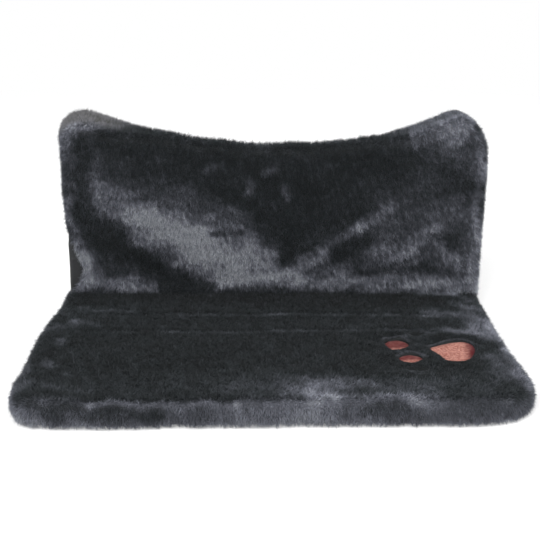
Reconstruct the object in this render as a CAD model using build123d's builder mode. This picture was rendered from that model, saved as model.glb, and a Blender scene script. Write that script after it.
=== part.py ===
from build123d import *
import math
import os

os.makedirs("parts", exist_ok=True)

# Cat radiator bed. X to the right, Y towards the radiator, Z up, in millimetres.
# The origin is under the middle of the whole bed, on the surface that the seat can stand on.

# The bed as a whole
bed_width = 460.0
seat_front = 297.0      # from the uprights' axis to the front of the plush
arm_z = 196.0           # height of the arms' axis
fit = 0.3               # room between a skin and what it covers
overrun = 2.0           # how far a cut runs past what it cuts

# Steel tube of the frame
tube_d = 16.0
tube_wall = 1.0
slip = 0.3              # radial room of a tube that slides in another
slim_wall = 1.2
low_bend = 30.0
top_bend = 25.0
front_bend = 38.0
arm_reach = 80.0        # from the uprights' axis to the arms' mouth
socket_reach = 71.0     # from the uprights' axis to the sockets' mouth
plug_start = 35.0       # from the uprights' axis to the seat tube's ends
swage_len = 2.0
plug_lap = 6.0

# Thickness of the soft parts
base_t = 1.2
tube_clear = 0.5        # from the seat tube up to the plush's underside
lining_t = 1.0
seat_plush = 9.0
seat_side_plush = 16.0
seat_front_plush = 13.0
back_plush = 8.4
ear_plush = 9.2

# Hooks
hook_start_gap = 5.0    # from the end of the arm's bend to the start of the hook at rest
shoe_grip = 7.0         # how far the shoe's collar reaches over the arm
shoe_lip = 3.0
shoe_gap = 2.0          # from the shoe's lip to the start of the hook's bend
hook_bend = 18.0
finger_drop = 46.0      # from the arm's axis to the end of the finger
cap_fit = 0.1
cap_wall = 1.7
cap_len = 30.0

# Places that follow
tube_r = tube_d / 2
bore_r = tube_r - tube_wall
slim_r = bore_r - slip
cap_r = slim_r + cap_fit + cap_wall
post_x = bed_width / 2 - seat_side_plush - tube_r
skin_x = post_x + tube_r + fit
seat_z = base_t + fit + tube_r
seat_ceiling = seat_z + tube_r + tube_clear
seat_height = seat_ceiling + seat_plush
hook_reach = arm_reach + shoe_lip + shoe_gap + hook_bend + cap_r
back_y = (seat_front - hook_reach) / 2
front_y = back_y - seat_front
seat_tube_y = front_y + seat_front_plush + tube_r
mouth_y = back_y + arm_reach
hook_start_y = back_y + top_bend + hook_start_gap
finger_y = mouth_y + shoe_lip + shoe_gap + hook_bend
skin_front = back_y - tube_r - fit
skin_rear = back_y + tube_r + fit
cover_front = skin_front - back_plush
lining_out = skin_rear + lining_t
sides = ((-1, "left"), (1, "right"))


def export(piece, name):
    """Label a finished piece and write it under its node's name."""
    piece.label = name
    export_step(piece, f"parts/{name}.step")


def facing_front(y):
    """A plane at y that is drawn on from the front, with X to the right and Z up."""
    return Plane(origin=(0, y, 0), x_dir=(1, 0, 0), z_dir=(0, -1, 0))


def facing_side(x):
    """A plane at x that is drawn on from the right, with Y to the right and Z up."""
    return Plane(origin=(x, 0, 0), x_dir=(0, 1, 0), z_dir=(1, 0, 0))


def bent_tube(points, bends, outer_r, inner_r=0):
    """A tube along straight runs and tangent bends; with no inner radius it is solid."""
    with BuildPart() as piece:
        with BuildLine() as route:
            FilletPolyline(*points, radius=bends)
        with BuildSketch(Plane(origin=route.line @ 0, z_dir=route.line % 0)):
            Circle(outer_r)
            if inner_r:
                Circle(inner_r, mode=Mode.SUBTRACT)
        sweep(path=route.wires()[0])
    return piece.part


def straight(at, way, length, outer_r, inner_r=0):
    """A straight round bar or ring of the given length that starts at a point."""
    with BuildPart() as piece:
        with BuildSketch(Plane(origin=at, z_dir=way)):
            Circle(outer_r)
            if inner_r:
                Circle(inner_r, mode=Mode.SUBTRACT)
        extrude(amount=length)
    return piece.part


def screw(at, way, shank_r, shank_len, head_r, head_t):
    """A pan head screw: its head's seat is at a point and its shank runs on along way."""
    driver = head_r / 2
    with BuildPart() as piece:
        with BuildSketch(Plane(origin=at, z_dir=way)):
            Circle(shank_r)
        extrude(amount=shank_len)
        with BuildSketch(Plane(origin=at, z_dir=way)):
            Circle(head_r)
        head = extrude(amount=-head_t)
        rim = head.edges().filter_by(GeomType.CIRCLE).sort_by(Axis(at, way))[0]
        fillet(rim, head_t / 2)
        with BuildSketch(Plane(origin=at, z_dir=way).offset(-head_t)):
            RegularPolygon(driver, 6)
        extrude(amount=head_t / 2, mode=Mode.SUBTRACT)
    return piece.part


# Uprights: one bent tube each side, with the seat's socket below, the arm above
# and a stub welded on for the rear crossbar
bar_rise = 31.0         # from the seat's plush up to the rear crossbar's axis
bar_z = seat_height + bar_rise
stub_len = 24.0
nut_af = 8.0
nut_gap = 3.0           # from the clamp's nut to the arm's shoe
screw_reach = arm_reach - shoe_grip - nut_gap - nut_af / 2
clamp_r = 2.5
clamp_room = 0.1        # the screw's running room in its nut
clamp_hole_r = 2.8
tap_r = 1.9             # self-tapping screws of the frame's joints
tap_room = 0.1
tap_len = 5.0
tap_head_r = 3.6
tap_head_t = 2.4
socket_screw_reach = 54.0
bar_screw_x = post_x - tube_r - stub_len / 2


def upright_solid(x, outer_r, inner_r=0):
    """The upright's tube, or with a larger radius the room that a skin leaves it."""
    route = [
        (x, back_y - socket_reach, seat_z),
        (x, back_y, seat_z),
        (x, back_y, arm_z),
        (x, mouth_y, arm_z),
    ]
    return bent_tube(route, [low_bend, top_bend], outer_r, inner_r)


for side, hand in sides:
    x = side * post_x
    inward = (-side, 0, 0)
    with BuildPart() as upright:
        add(upright_solid(x, tube_r, bore_r))
        add(straight((x, back_y, bar_z), inward, tube_r + stub_len, slim_r, slim_r - tube_wall))
        add(straight((x, back_y, bar_z - tube_r), (0, 0, 1), tube_d, bore_r), mode=Mode.SUBTRACT)
        add(straight((side * bar_screw_x, back_y, bar_z), (0, 0, -1), tube_r, tap_r + tap_room),
            mode=Mode.SUBTRACT)
        add(straight((x, back_y + screw_reach, arm_z), inward, tube_r + overrun, clamp_hole_r),
            mode=Mode.SUBTRACT)
        add(straight((x, back_y - socket_screw_reach, seat_z), inward, tube_r + overrun, tap_r + tap_room),
            mode=Mode.SUBTRACT)
    export(upright.part, f"{hand}_upright")

# Seat tube: one U, swaged at both ends to plug into the uprights' sockets
swage_y = back_y - socket_reach - fit
with BuildPart() as seat_tube:
    seat_route = [
        (-post_x, swage_y, seat_z),
        (-post_x, seat_tube_y, seat_z),
        (post_x, seat_tube_y, seat_z),
        (post_x, swage_y, seat_z),
    ]
    add(bent_tube(seat_route, [front_bend, front_bend], tube_r, bore_r))
    for side, hand in sides:
        x = side * post_x
        add(straight((x, swage_y, seat_z), (0, -1, 0), swage_len, tube_r, slim_r - tube_wall))
        add(straight((x, back_y - plug_start, seat_z), (0, -1, 0),
                     socket_reach - plug_start + plug_lap, slim_r, slim_r - tube_wall))
        add(straight((x, back_y - socket_screw_reach, seat_z), (-side, 0, 0), tube_r, tap_r + tap_room),
            mode=Mode.SUBTRACT)
export(seat_tube.part, "seat_tube")

# Socket screws: self-tapping, from inside the U
with BuildPart() as socket_screws:
    for side, hand in sides:
        at = (side * (post_x - tube_r), back_y - socket_screw_reach, seat_z)
        add(screw(at, (side, 0, 0), tap_r, tap_len, tap_head_r, tap_head_t))
export(socket_screws.part, "socket_screws")

# Rear crossbar: slips over the uprights' stubs, with its ends coped to the uprights' round
cope_gap = 0.2
buffer_inset = 56.0     # from the uprights' axis in to the buffers
buffer_x = post_x - buffer_inset
buffer_hole_r = 2.1
with BuildPart() as rear_crossbar:
    add(straight((-post_x, back_y, bar_z), (1, 0, 0), 2 * post_x, tube_r, bore_r))
    for side, hand in sides:
        add(straight((side * post_x, back_y, bar_z - tube_d), (0, 0, 1), 2 * tube_d, tube_r + cope_gap),
            mode=Mode.SUBTRACT)
        add(straight((side * buffer_x, back_y, bar_z), (0, 1, 0), tube_r + overrun, buffer_hole_r),
            mode=Mode.SUBTRACT)
        add(straight((side * bar_screw_x, back_y, bar_z), (0, 0, -1), tube_r + overrun, tap_r + tap_room),
            mode=Mode.SUBTRACT)
export(rear_crossbar.part, "rear_crossbar")

# Crossbar screws: the same self-tapping screws, from below through the crossbar into the stubs
with BuildPart() as crossbar_screws:
    for side, hand in sides:
        at = (side * bar_screw_x, back_y, bar_z - tube_r)
        add(screw(at, (0, 0, 1), tap_r, tap_len, tap_head_r, tap_head_t))
export(crossbar_screws.part, "crossbar_screws")

# Buffers: rubber feet that hold the back off the radiator, screwed to the crossbar through the lining
buffer_root_r = 12.0
buffer_face_r = 10.0
buffer_t = 8.0
buffer_recess_r = 4.6
buffer_recess = 4.5
buffer_screw_r = 1.95
buffer_head_r = 3.8
buffer_head_t = 2.6
buffer_screw_len = 12.0
buffer_y = lining_out + fit
buffer_face_y = buffer_y + buffer_t
for side, hand in sides:
    at = (side * buffer_x, buffer_y, bar_z)
    with BuildPart() as buffer:
        with BuildSketch(Plane(origin=at, z_dir=(0, 1, 0))):
            Circle(buffer_root_r)
        with BuildSketch(Plane(origin=at, z_dir=(0, 1, 0)).offset(buffer_t)):
            Circle(buffer_face_r)
        loft()
        with Locations(Plane(origin=at, z_dir=(0, 1, 0)).offset(buffer_t)):
            CounterBoreHole(buffer_hole_r, buffer_recess_r, buffer_recess)
    export(buffer.part, f"{hand}_buffer")
with BuildPart() as buffer_screws:
    for side, hand in sides:
        add(screw((side * buffer_x, buffer_face_y - buffer_recess, bar_z), (0, -1, 0),
                  buffer_screw_r, buffer_screw_len, buffer_head_r, buffer_head_t))
export(buffer_screws.part, "buffer_screws")

# Arm shoes: moulded collars over the arms' mouths, with a flat foot that sits on the radiator
shoe_r = 11.0
shoe_foot = 12.0        # from the arm's axis down to the foot's flat face
shoe_room = 0.1
shoe_start = mouth_y - shoe_grip
for side, hand in sides:
    x = side * post_x
    with BuildPart() as shoe:
        with BuildSketch(Plane(origin=(x, shoe_start, arm_z), x_dir=(-1, 0, 0), z_dir=(0, 1, 0))):
            Circle(shoe_r)
            with Locations((0, -shoe_foot / 2)):
                Rectangle(2 * shoe_r, shoe_foot)
        extrude(amount=shoe_grip + shoe_lip)
        chamfer(shoe.faces().sort_by(Axis.Y)[-1].edges().sort_by(Axis.Z)[1:], shoe_lip / 3)
        add(straight((x, shoe_start, arm_z), (0, 1, 0), shoe_grip + shoe_room, tube_r + shoe_room),
            mode=Mode.SUBTRACT)
        add(straight((x, shoe_start, arm_z), (0, 1, 0), shoe_grip + shoe_lip, slim_r + slip),
            mode=Mode.SUBTRACT)
    export(shoe.part, f"{hand}_arm_shoe")

# Clamp nuts: welded to the arms' inner sides
nut_t = 4.0
nut_sink = 1.2
for side, hand in sides:
    at = (side * (post_x - tube_r + nut_sink), back_y + screw_reach, arm_z)
    with BuildPart() as nut:
        with BuildSketch(Plane(origin=at, z_dir=(-side, 0, 0))):
            RegularPolygon(nut_af / 2, 6, major_radius=False)
            Circle(clamp_r + clamp_room, mode=Mode.SUBTRACT)
        extrude(amount=nut_t + nut_sink)
        add(straight((side * post_x, back_y, arm_z), (0, 1, 0), arm_reach, tube_r + shoe_room / 2),
            mode=Mode.SUBTRACT)
    export(nut.part, f"{hand}_clamp_nut")

# Clamp screws and their knobs: they press on the hooks' tubes
knob_r = 7.0
knob_t = 11.0
knob_gap = 1.5          # from the nut to the knob
knob_lobes = 6
knob_lobe_r = 2.2
knob_edge = 1.0
clamp_tip = post_x - slim_r - fit
knob_x = post_x - tube_r - nut_t - knob_gap
screw_sink = 7.0        # how far the knob is moulded over the screw
press_room = 0.05
for side, hand in sides:
    at = (side * clamp_tip, back_y + screw_reach, arm_z)
    shank = clamp_tip - knob_x + screw_sink
    export(straight(at, (-side, 0, 0), shank, clamp_r), f"{hand}_clamp_screw")
    at = (side * knob_x, back_y + screw_reach, arm_z)
    with BuildPart() as knob:
        with BuildSketch(Plane(origin=at, z_dir=(-side, 0, 0))):
            Circle(knob_r)
            with PolarLocations(knob_r + knob_lobe_r / 2, knob_lobes):
                Circle(knob_lobe_r, mode=Mode.SUBTRACT)
        extrude(amount=knob_t)
        chamfer(knob.faces().sort_by(Axis.X)[0 if side > 0 else -1].edges(), knob_edge / 2)
        add(straight(at, (-side, 0, 0), screw_sink + press_room, clamp_r + press_room), mode=Mode.SUBTRACT)
    export(knob.part, f"{hand}_clamp_knob")

# Hooks: a slim tube that slides in the arm, and its finger behind the radiator
finger_z = arm_z - finger_drop
for side, hand in sides:
    x = side * post_x
    hook_route = [
        (x, hook_start_y, arm_z),
        (x, finger_y, arm_z),
        (x, finger_y, finger_z),
    ]
    export(bent_tube(hook_route, [hook_bend], slim_r, slim_r - slim_wall), f"{hand}_hook")
    with BuildPart() as cap:
        with BuildSketch(Plane(origin=(x, finger_y, finger_z - cap_wall - cap_fit))):
            Circle(cap_r)
        extrude(amount=cap_len)
        fillet(cap.edges().filter_by(GeomType.CIRCLE).sort_by(Axis.Z)[0], cap_r / 2)
        with BuildSketch(Plane(origin=(x, finger_y, finger_z - cap_fit))):
            Circle(slim_r + cap_fit)
        extrude(amount=cap_len, mode=Mode.SUBTRACT)
    export(cap.part, f"{hand}_hook_cap")

# Outline of the back: a sagging top edge that runs tangent into two round ears
sag_z = 185.0
ear_r = 25.7
ear_x = bed_width / 2 - ear_r - fit
ear_z = 188.0
low_draw = 10.5         # how much narrower the back is at the seat than at its ears
back_low_x = bed_width / 2 - low_draw
sag_r = (ear_x ** 2 + (sag_z - ear_z) ** 2 - ear_r ** 2) / (2 * (ear_r + ear_z - sag_z))
lean = math.asin(ear_x / (sag_r + ear_r))


def back_outline(skin, low_x, low_z):
    """The back's face, drawn in by the skin's thickness along the top and the ears."""
    small_r = ear_r - skin
    large_r = sag_r + skin
    meet = (large_r * math.sin(lean), sag_z + sag_r - large_r * math.cos(lean))
    top = (ear_x + small_r * math.cos(math.pi / 4), ear_z + small_r * math.sin(math.pi / 4))
    with BuildSketch() as face:
        with BuildLine():
            Line((0, low_z), (low_x, low_z))
            Line((low_x, low_z), (ear_x + small_r, ear_z))
            ThreePointArc((ear_x + small_r, ear_z), top, meet)
            mid = lean / 2
            ThreePointArc(meet, (large_r * math.sin(mid), sag_z + sag_r - large_r * math.cos(mid)),
                          (0, sag_z - skin))
            Line((0, sag_z - skin), (0, low_z))
        make_face()
        mirror(about=Plane.YZ)
    return face.sketch


# Back cover, front: plush that wraps the uprights' sides, the top edge and the arms
hem_gap = 0.3
knob_clear = 3.0        # from the ears' rear ends to the clamps' knobs
hood_reach = screw_reach - knob_r - knob_clear
hood_root = 56.0        # from the uprights' axis in to where an ear leaves the top edge
hood_end = 29.0         # from the uprights' axis in to the inner edge of the ear's rear end
hood_root_x = post_x - hood_root
hood_end_x = post_x - hood_end
hood_floor = 1.5
back_round = 5.0
gusset_t = 1.0
sliver_top = 76.0       # height where the plush's side edge starts to draw back
sliver_foot = 10.0      # height of the straight stretch under it
sliver_reach = 9.0      # how far the side edge stays in front of the lining at the foot
hood_floor_z = arm_z - tube_r - fit - hood_floor
hood_end_y = back_y + hood_reach
back_low_z = seat_height + hem_gap
side_in = skin_x + gusset_t + fit


def hood_plan(margin, end_y):
    """An ear seen from above, from the panel back to its rear end."""
    with BuildSketch() as face:
        Polygon(
            (hood_root_x + margin, back_y),
            (bed_width, back_y),
            (bed_width, end_y),
            (hood_end_x + margin, end_y),
            align=None,
        )
        mirror(about=Plane.YZ)
    return face.sketch


with BuildPart() as hoods:
    with BuildSketch(facing_front(hood_end_y)):
        add(back_outline(0, back_low_x, back_low_z))
    extrude(amount=hood_reach)
    with BuildSketch(Plane.XY.offset(hood_floor_z)):
        add(hood_plan(0, hood_end_y))
    extrude(amount=arm_z, mode=Mode.INTERSECT)

with BuildPart() as back_cover_front:
    with BuildSketch(facing_front(skin_rear)):
        add(back_outline(0, back_low_x, back_low_z))
    extrude(amount=skin_rear - cover_front)
    front_rim = back_cover_front.faces().sort_by(Axis.Y)[0].outer_wire().edges()
    fillet(front_rim.sort_by(Axis.Z)[1:], back_round)
    add(hoods.part)
    with BuildSketch(facing_front(hood_end_y + overrun)):
        add(back_outline(ear_plush, side_in, back_low_z - overrun))
    extrude(amount=hood_end_y + overrun - skin_front, mode=Mode.SUBTRACT)
    for side, hand in sides:
        add(upright_solid(side * post_x, tube_r + fit), mode=Mode.SUBTRACT)
    # the lower part of each side edge is drawn back, which leaves the gusset bare
    low = back_low_z - overrun
    out = skin_rear + overrun
    with BuildSketch(facing_side(0)):
        Polygon(
            (skin_rear - sliver_reach, low),
            (skin_rear - sliver_reach, back_low_z + sliver_foot),
            (skin_rear, sliver_top),
            (out, sliver_top),
            (out, low),
            align=None,
        )
    extrude(amount=bed_width, both=True, mode=Mode.SUBTRACT)
export(back_cover_front.part, "back_cover_front")

# Ear linings: the underside, the inner side and the rear end of each ear, with a hole for the arm
lining_gap = 0.3
with BuildPart() as ear_block:
    with BuildSketch(facing_front(hood_end_y)):
        add(back_outline(ear_plush + lining_gap, skin_x, back_low_z))
    extrude(amount=hood_end_y - lining_out - lining_gap)
    with BuildSketch(Plane.XY.offset(hood_floor_z)):
        add(hood_plan(lining_gap, hood_end_y))
    extrude(amount=arm_z, mode=Mode.INTERSECT)
    with BuildSketch(Plane.XY.offset(hood_floor_z + hood_floor)):
        add(hood_plan(lining_gap + lining_t, hood_end_y - lining_t))
    extrude(amount=arm_z, mode=Mode.SUBTRACT)
for side, hand in sides:
    with BuildPart() as ear_lining:
        add(ear_block.part)
        split(bisect_by=Plane(origin=(0, 0, 0), z_dir=(side, 0, 0)), keep=Keep.TOP)
        add(upright_solid(side * post_x, tube_r + fit), mode=Mode.SUBTRACT)
    export(ear_lining.part, f"{hand}_ear_lining")

# Side gussets: lining over the outer sides of the uprights' lower ends
gusset_top = 84.0
gusset_low = 2.0
for side, hand in sides:
    with BuildPart() as gusset:
        with BuildSketch(facing_side(side * skin_x)):
            Polygon(
                (skin_front, gusset_low),
                (skin_rear, gusset_low),
                (skin_rear, gusset_top),
                (skin_front, gusset_top),
                align=None,
            )
        extrude(amount=side * gusset_t)
    export(gusset.part, f"{hand}_side_gusset")

# Rear lining in two panels, with the zip's slot between them
lining_inset = 4.0
zip_z = 92.0
zip_inset = 58.0        # from the uprights' axis in to the ends of the zip's slot
zip_half = post_x - zip_inset
zip_slot = 8.0
seam_gap = 0.2
tape_w = 12.0
tape_t = 0.8
coil_w = 5.6
coil_t = 2.0
for name, keep, offset in (("upper", Keep.TOP, seam_gap / 2), ("lower", Keep.BOTTOM, -seam_gap / 2)):
    with BuildPart() as lining:
        with BuildSketch(facing_front(lining_out)):
            add(back_outline(lining_inset, skin_x - fit, 0))
            with Locations((0, zip_z)):
                SlotOverall(2 * zip_half, zip_slot, mode=Mode.SUBTRACT)
            for side, hand in sides:
                with Locations((side * bed_width / 2, hood_floor_z - lining_gap)):
                    Rectangle(2 * (bed_width / 2 - hood_root_x + lining_gap), arm_z,
                              align=(Align.CENTER, Align.MIN), mode=Mode.SUBTRACT)
                with Locations((side * buffer_x, bar_z)):
                    Circle(buffer_hole_r + fit, mode=Mode.SUBTRACT)
        extrude(amount=lining_t)
        split(bisect_by=Plane.XY.offset(zip_z + offset), keep=keep)
        for side, hand in sides:
            add(upright_solid(side * post_x, tube_r + fit), mode=Mode.SUBTRACT)
    export(lining.part, f"back_cover_rear_{name}")

# Zip: two tapes sewn on the lining, the coil between them, and the end stops
tape_y = lining_out + seam_gap / 2
coil_y = tape_y + tape_t
tape_half = zip_half + tape_w
for name, way in (("upper", 1), ("lower", -1)):
    with BuildPart() as tape:
        with BuildSketch(facing_front(tape_y + tape_t)):
            with Locations((0, zip_z + way * (seam_gap + tape_w) / 2)):
                Rectangle(2 * tape_half, tape_w)
        extrude(amount=tape_t)
    export(tape.part, f"zip_tape_{name}")
coil_half = zip_half - coil_w
with BuildPart() as zip_coil:
    with BuildSketch(facing_side(-coil_half)):
        with Locations((coil_y + coil_t / 2, zip_z)):
            RectangleRounded(coil_t, coil_w, coil_t / 3)
    extrude(amount=2 * coil_half)
export(zip_coil.part, "zip_coil")
stop_len = 3.0
stop_over = 0.8
with BuildPart() as zip_stops:
    for side, hand in sides:
        with BuildSketch(facing_side(side * (coil_half + seam_gap))):
            with Locations((coil_y + (coil_t + stop_over) / 2, zip_z)):
                RectangleRounded(coil_t + stop_over, coil_w + stop_over, stop_over)
        extrude(amount=side * stop_len)
export(zip_stops.part, "zip_stops")

# Zip slider: a channel over the coil, with a lug that holds the pull's pin
slider_len = 11.0
slider_w = 9.0
slider_room = 0.3
slider_top = 1.2
lug_len = 3.2
lug_w = 2.4
lug_h = 2.6
pin_r = 0.6
pin_room = 0.12
pin_rise = 1.4          # from the slider's top to the pin's axis
zip_start = coil_half - slider_len
slider_y = coil_y + coil_t + slider_room + slider_top
pin_y = slider_y + pin_rise
with BuildPart() as zip_slider:
    with BuildSketch(Plane(origin=(zip_start, coil_y + slider_room, zip_z), x_dir=(1, 0, 0),
                           z_dir=(0, 1, 0))):
        RectangleRounded(slider_len, slider_w, slider_w / 3)
    extrude(amount=slider_y - coil_y - slider_room)
    with BuildSketch(facing_side(zip_start - slider_len)):
        with Locations((coil_y, zip_z)):
            Rectangle(2 * (coil_t + slider_room), coil_w + 2 * slider_room)
    extrude(amount=2 * slider_len, mode=Mode.SUBTRACT)
    with BuildSketch(Plane(origin=(zip_start, slider_y, zip_z), x_dir=(1, 0, 0), z_dir=(0, 1, 0))):
        Rectangle(lug_len, lug_w)
    extrude(amount=lug_h)
    fillet(zip_slider.faces().sort_by(Axis.Y)[-1].edges().filter_by(Axis.Z), lug_len / 4)
    add(straight((zip_start, pin_y, zip_z - lug_w), (0, 0, 1), 2 * lug_w, pin_r + pin_room),
        mode=Mode.SUBTRACT)
export(zip_slider.part, "zip_slider")

# Zip pull: a tongue whose two tines hold the pin through the slider's lug
pull_len = 22.0
pull_w = 6.4
pull_t = 1.2
fork_len = 4.2
fork_room = 0.3
hole_r = 1.6
with BuildPart() as zip_pull:
    with BuildSketch(Plane(origin=(zip_start, pin_y + pull_t / 2, zip_z), x_dir=(-1, 0, 0),
                           z_dir=(0, -1, 0))):
        with Locations((pull_len / 2, 0)):
            RectangleRounded(pull_len, pull_w, pull_w / 3)
        with Locations((0, 0)):
            Rectangle(2 * fork_len, lug_w + 2 * fork_room, mode=Mode.SUBTRACT)
        with Locations((pull_len - 2 * hole_r, 0)):
            Circle(hole_r, mode=Mode.SUBTRACT)
    extrude(amount=pull_t)
    add(straight((zip_start, pin_y, zip_z - pull_w / 2), (0, 0, 1), pull_w, pin_r))
export(zip_pull.part, "zip_pull")

# Seat cover, top: a crowned plush shell over the seat tube, with two creases and the paw's windows
side_draw = 4.5         # how much narrower the seat is at its front than in the middle
rear_draw = 6.0
front_draw = 1.5
seat_corner = 45.0
seat_crown = 1.5
seat_lift = 0.3         # the plush's lower edge above the lining under the seat
top_round = 7.0
low_round = 6.0
crease_r = 14.0
crease_deep = 1.6
crease_reaches = (83.0, 133.0)
crease_end = 65.0       # from the seat's sides in to the ends of the creases
crease_half = bed_width / 2 - crease_end
half_w = bed_width / 2
seat_mid_y = (front_y + skin_rear) / 2
with BuildSketch() as seat_plan:
    with BuildLine():
        Line((-half_w + rear_draw, skin_rear), (half_w - rear_draw, skin_rear))
        ThreePointArc((half_w - rear_draw, skin_rear), (half_w, seat_mid_y),
                      (half_w - side_draw, front_y + front_draw))
        ThreePointArc((half_w - side_draw, front_y + front_draw), (0, front_y),
                      (-half_w + side_draw, front_y + front_draw))
        ThreePointArc((-half_w + side_draw, front_y + front_draw), (-half_w, seat_mid_y),
                      (-half_w + rear_draw, skin_rear))
    make_face()
    fillet(seat_plan.vertices().group_by(Axis.Y)[0], seat_corner)

inner_front = seat_tube_y - tube_r - fit
inner_corner = front_bend + tube_r + fit
with BuildSketch() as seat_inside:
    with BuildLine():
        Polyline((-skin_x, skin_rear), (-skin_x, inner_front), (skin_x, inner_front),
                 (skin_x, skin_rear), close=True)
    make_face()
    fillet(seat_inside.vertices().group_by(Axis.Y)[0], inner_corner)

# Paw print: outlines as shares of the pad's length, about the pad's middle
paw_len = 48.0
paw_inset = 64.0        # from the seat's right side in to the pad's middle
paw_x = half_w - paw_inset
paw_reach = 184.0       # from the uprights' axis to the pad's middle
paw_y = back_y - paw_reach
pad_corner = paw_len / 6
toe_len_share = 0.56
toe_w_share = 0.48
toe_len = toe_len_share * paw_len
toe_w = toe_w_share * paw_len
pad_shares = [(-0.5, 0.14), (0.32, 0.58), (0.52, 0.15), (0.4, -0.52), (-0.14, -0.62)]
toe_place_shares = [(-1.04, 0.33), (-0.83, -0.31), (-0.7, -0.84), (-0.52, 1.02)]

with BuildSketch() as paw:
    Polygon(*[(paw_x + u * paw_len, paw_y + v * paw_len) for u, v in pad_shares], align=None)
    fillet(paw.vertices(), pad_corner)
    for u, v in toe_place_shares:
        turn = math.degrees(math.atan2(v, u))
        with Locations(Location((paw_x + u * paw_len, paw_y + v * paw_len, 0), turn)):
            Ellipse(toe_len / 2, toe_w / 2)

with BuildPart() as seat_cover_top:
    with BuildSketch(Plane.XY.offset(seat_lift)):
        add(seat_plan.sketch)
    extrude(amount=seat_height - seat_lift)
    crown_low = seat_height - seat_crown
    with BuildSketch(facing_side(0)):
        with BuildLine():
            ThreePointArc((front_y, crown_low), (seat_mid_y, seat_height), (skin_rear, crown_low))
            Polyline((skin_rear, crown_low), (skin_rear, 0), (front_y, 0), (front_y, crown_low))
        make_face()
    extrude(amount=bed_width, both=True, mode=Mode.INTERSECT)
    fillet(seat_cover_top.faces().sort_by(Axis.Z)[-1].edges(), top_round)
    fillet(seat_cover_top.faces().sort_by(Axis.Z)[0].edges(), low_round)
    for reach in crease_reaches:
        at = (-crease_half, back_y - reach, seat_height + crease_r - crease_deep)
        add(straight(at, (1, 0, 0), 2 * crease_half, crease_r), mode=Mode.SUBTRACT)
    with BuildSketch(Plane.XY.offset(-overrun)):
        add(seat_inside.sketch)
    extrude(amount=seat_ceiling + overrun, mode=Mode.SUBTRACT)
    with BuildSketch(Plane.XY.offset(-overrun)):
        rear_room = skin_rear - cover_front + fit
        with Locations((0, cover_front - fit + rear_room)):
            Rectangle(2 * side_in, 2 * rear_room)
    extrude(amount=seat_height + 2 * overrun, mode=Mode.SUBTRACT)
    with BuildSketch(Plane.XY.offset(seat_ceiling - overrun)):
        add(paw.sketch)
    extrude(amount=seat_plush + 2 * overrun, mode=Mode.SUBTRACT)
    for side, hand in sides:
        add(upright_solid(side * post_x, tube_r + fit), mode=Mode.SUBTRACT)
export(seat_cover_top.part, "seat_cover_top")

# Seat cover, base: the lining that the whole bed stands on
with BuildPart() as seat_cover_base:
    with BuildSketch():
        add(seat_inside.sketch)
    extrude(amount=base_t)
export(seat_cover_base.part, "seat_cover_base")

# Board and foam inside the seat
pad_gap = 3.2
board_t = 3.0
pad_corner_r = 24.0
pad_edge = 2.0
backing_t = 1.0
layer_gap = 0.1
board_z = base_t + fit
foam_z = board_z + board_t + layer_gap
backing_z = seat_ceiling - layer_gap - backing_t
foam_top = backing_z - layer_gap
with BuildSketch() as pad_plan:
    pad_front = seat_tube_y + tube_r + pad_gap
    pad_half = post_x - tube_r - pad_gap
    with BuildLine():
        Polyline((-pad_half, cover_front), (-pad_half, pad_front), (pad_half, pad_front),
                 (pad_half, cover_front), close=True)
    make_face()
    fillet(pad_plan.vertices().group_by(Axis.Y)[0], pad_corner_r)
with BuildPart() as seat_board:
    with BuildSketch(Plane.XY.offset(board_z)):
        add(pad_plan.sketch)
    extrude(amount=board_t)
export(seat_board.part, "seat_board")
with BuildPart() as foam_pad:
    with BuildSketch(Plane.XY.offset(foam_z)):
        add(pad_plan.sketch)
    extrude(amount=foam_top - foam_z)
    chamfer(foam_pad.faces().sort_by(Axis.Z)[-1].edges(), pad_edge)
export(foam_pad.part, "foam_pad")

# Paw backing: pink suede under the windows
backing_margin = 6.0
backing_len_share = 2.5
with BuildPart() as paw_backing:
    with BuildSketch(Plane.XY.offset(backing_z)):
        low_x = paw_x + toe_place_shares[0][0] * paw_len - toe_len / 2 - backing_margin
        with Locations((low_x, paw_y)):
            RectangleRounded(pad_half - low_x, 2 * backing_margin + backing_len_share * paw_len, pad_corner,
                             align=(Align.MIN, Align.CENTER))
    extrude(amount=backing_t)
export(paw_backing.part, "paw_backing")
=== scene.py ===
import math

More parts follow.
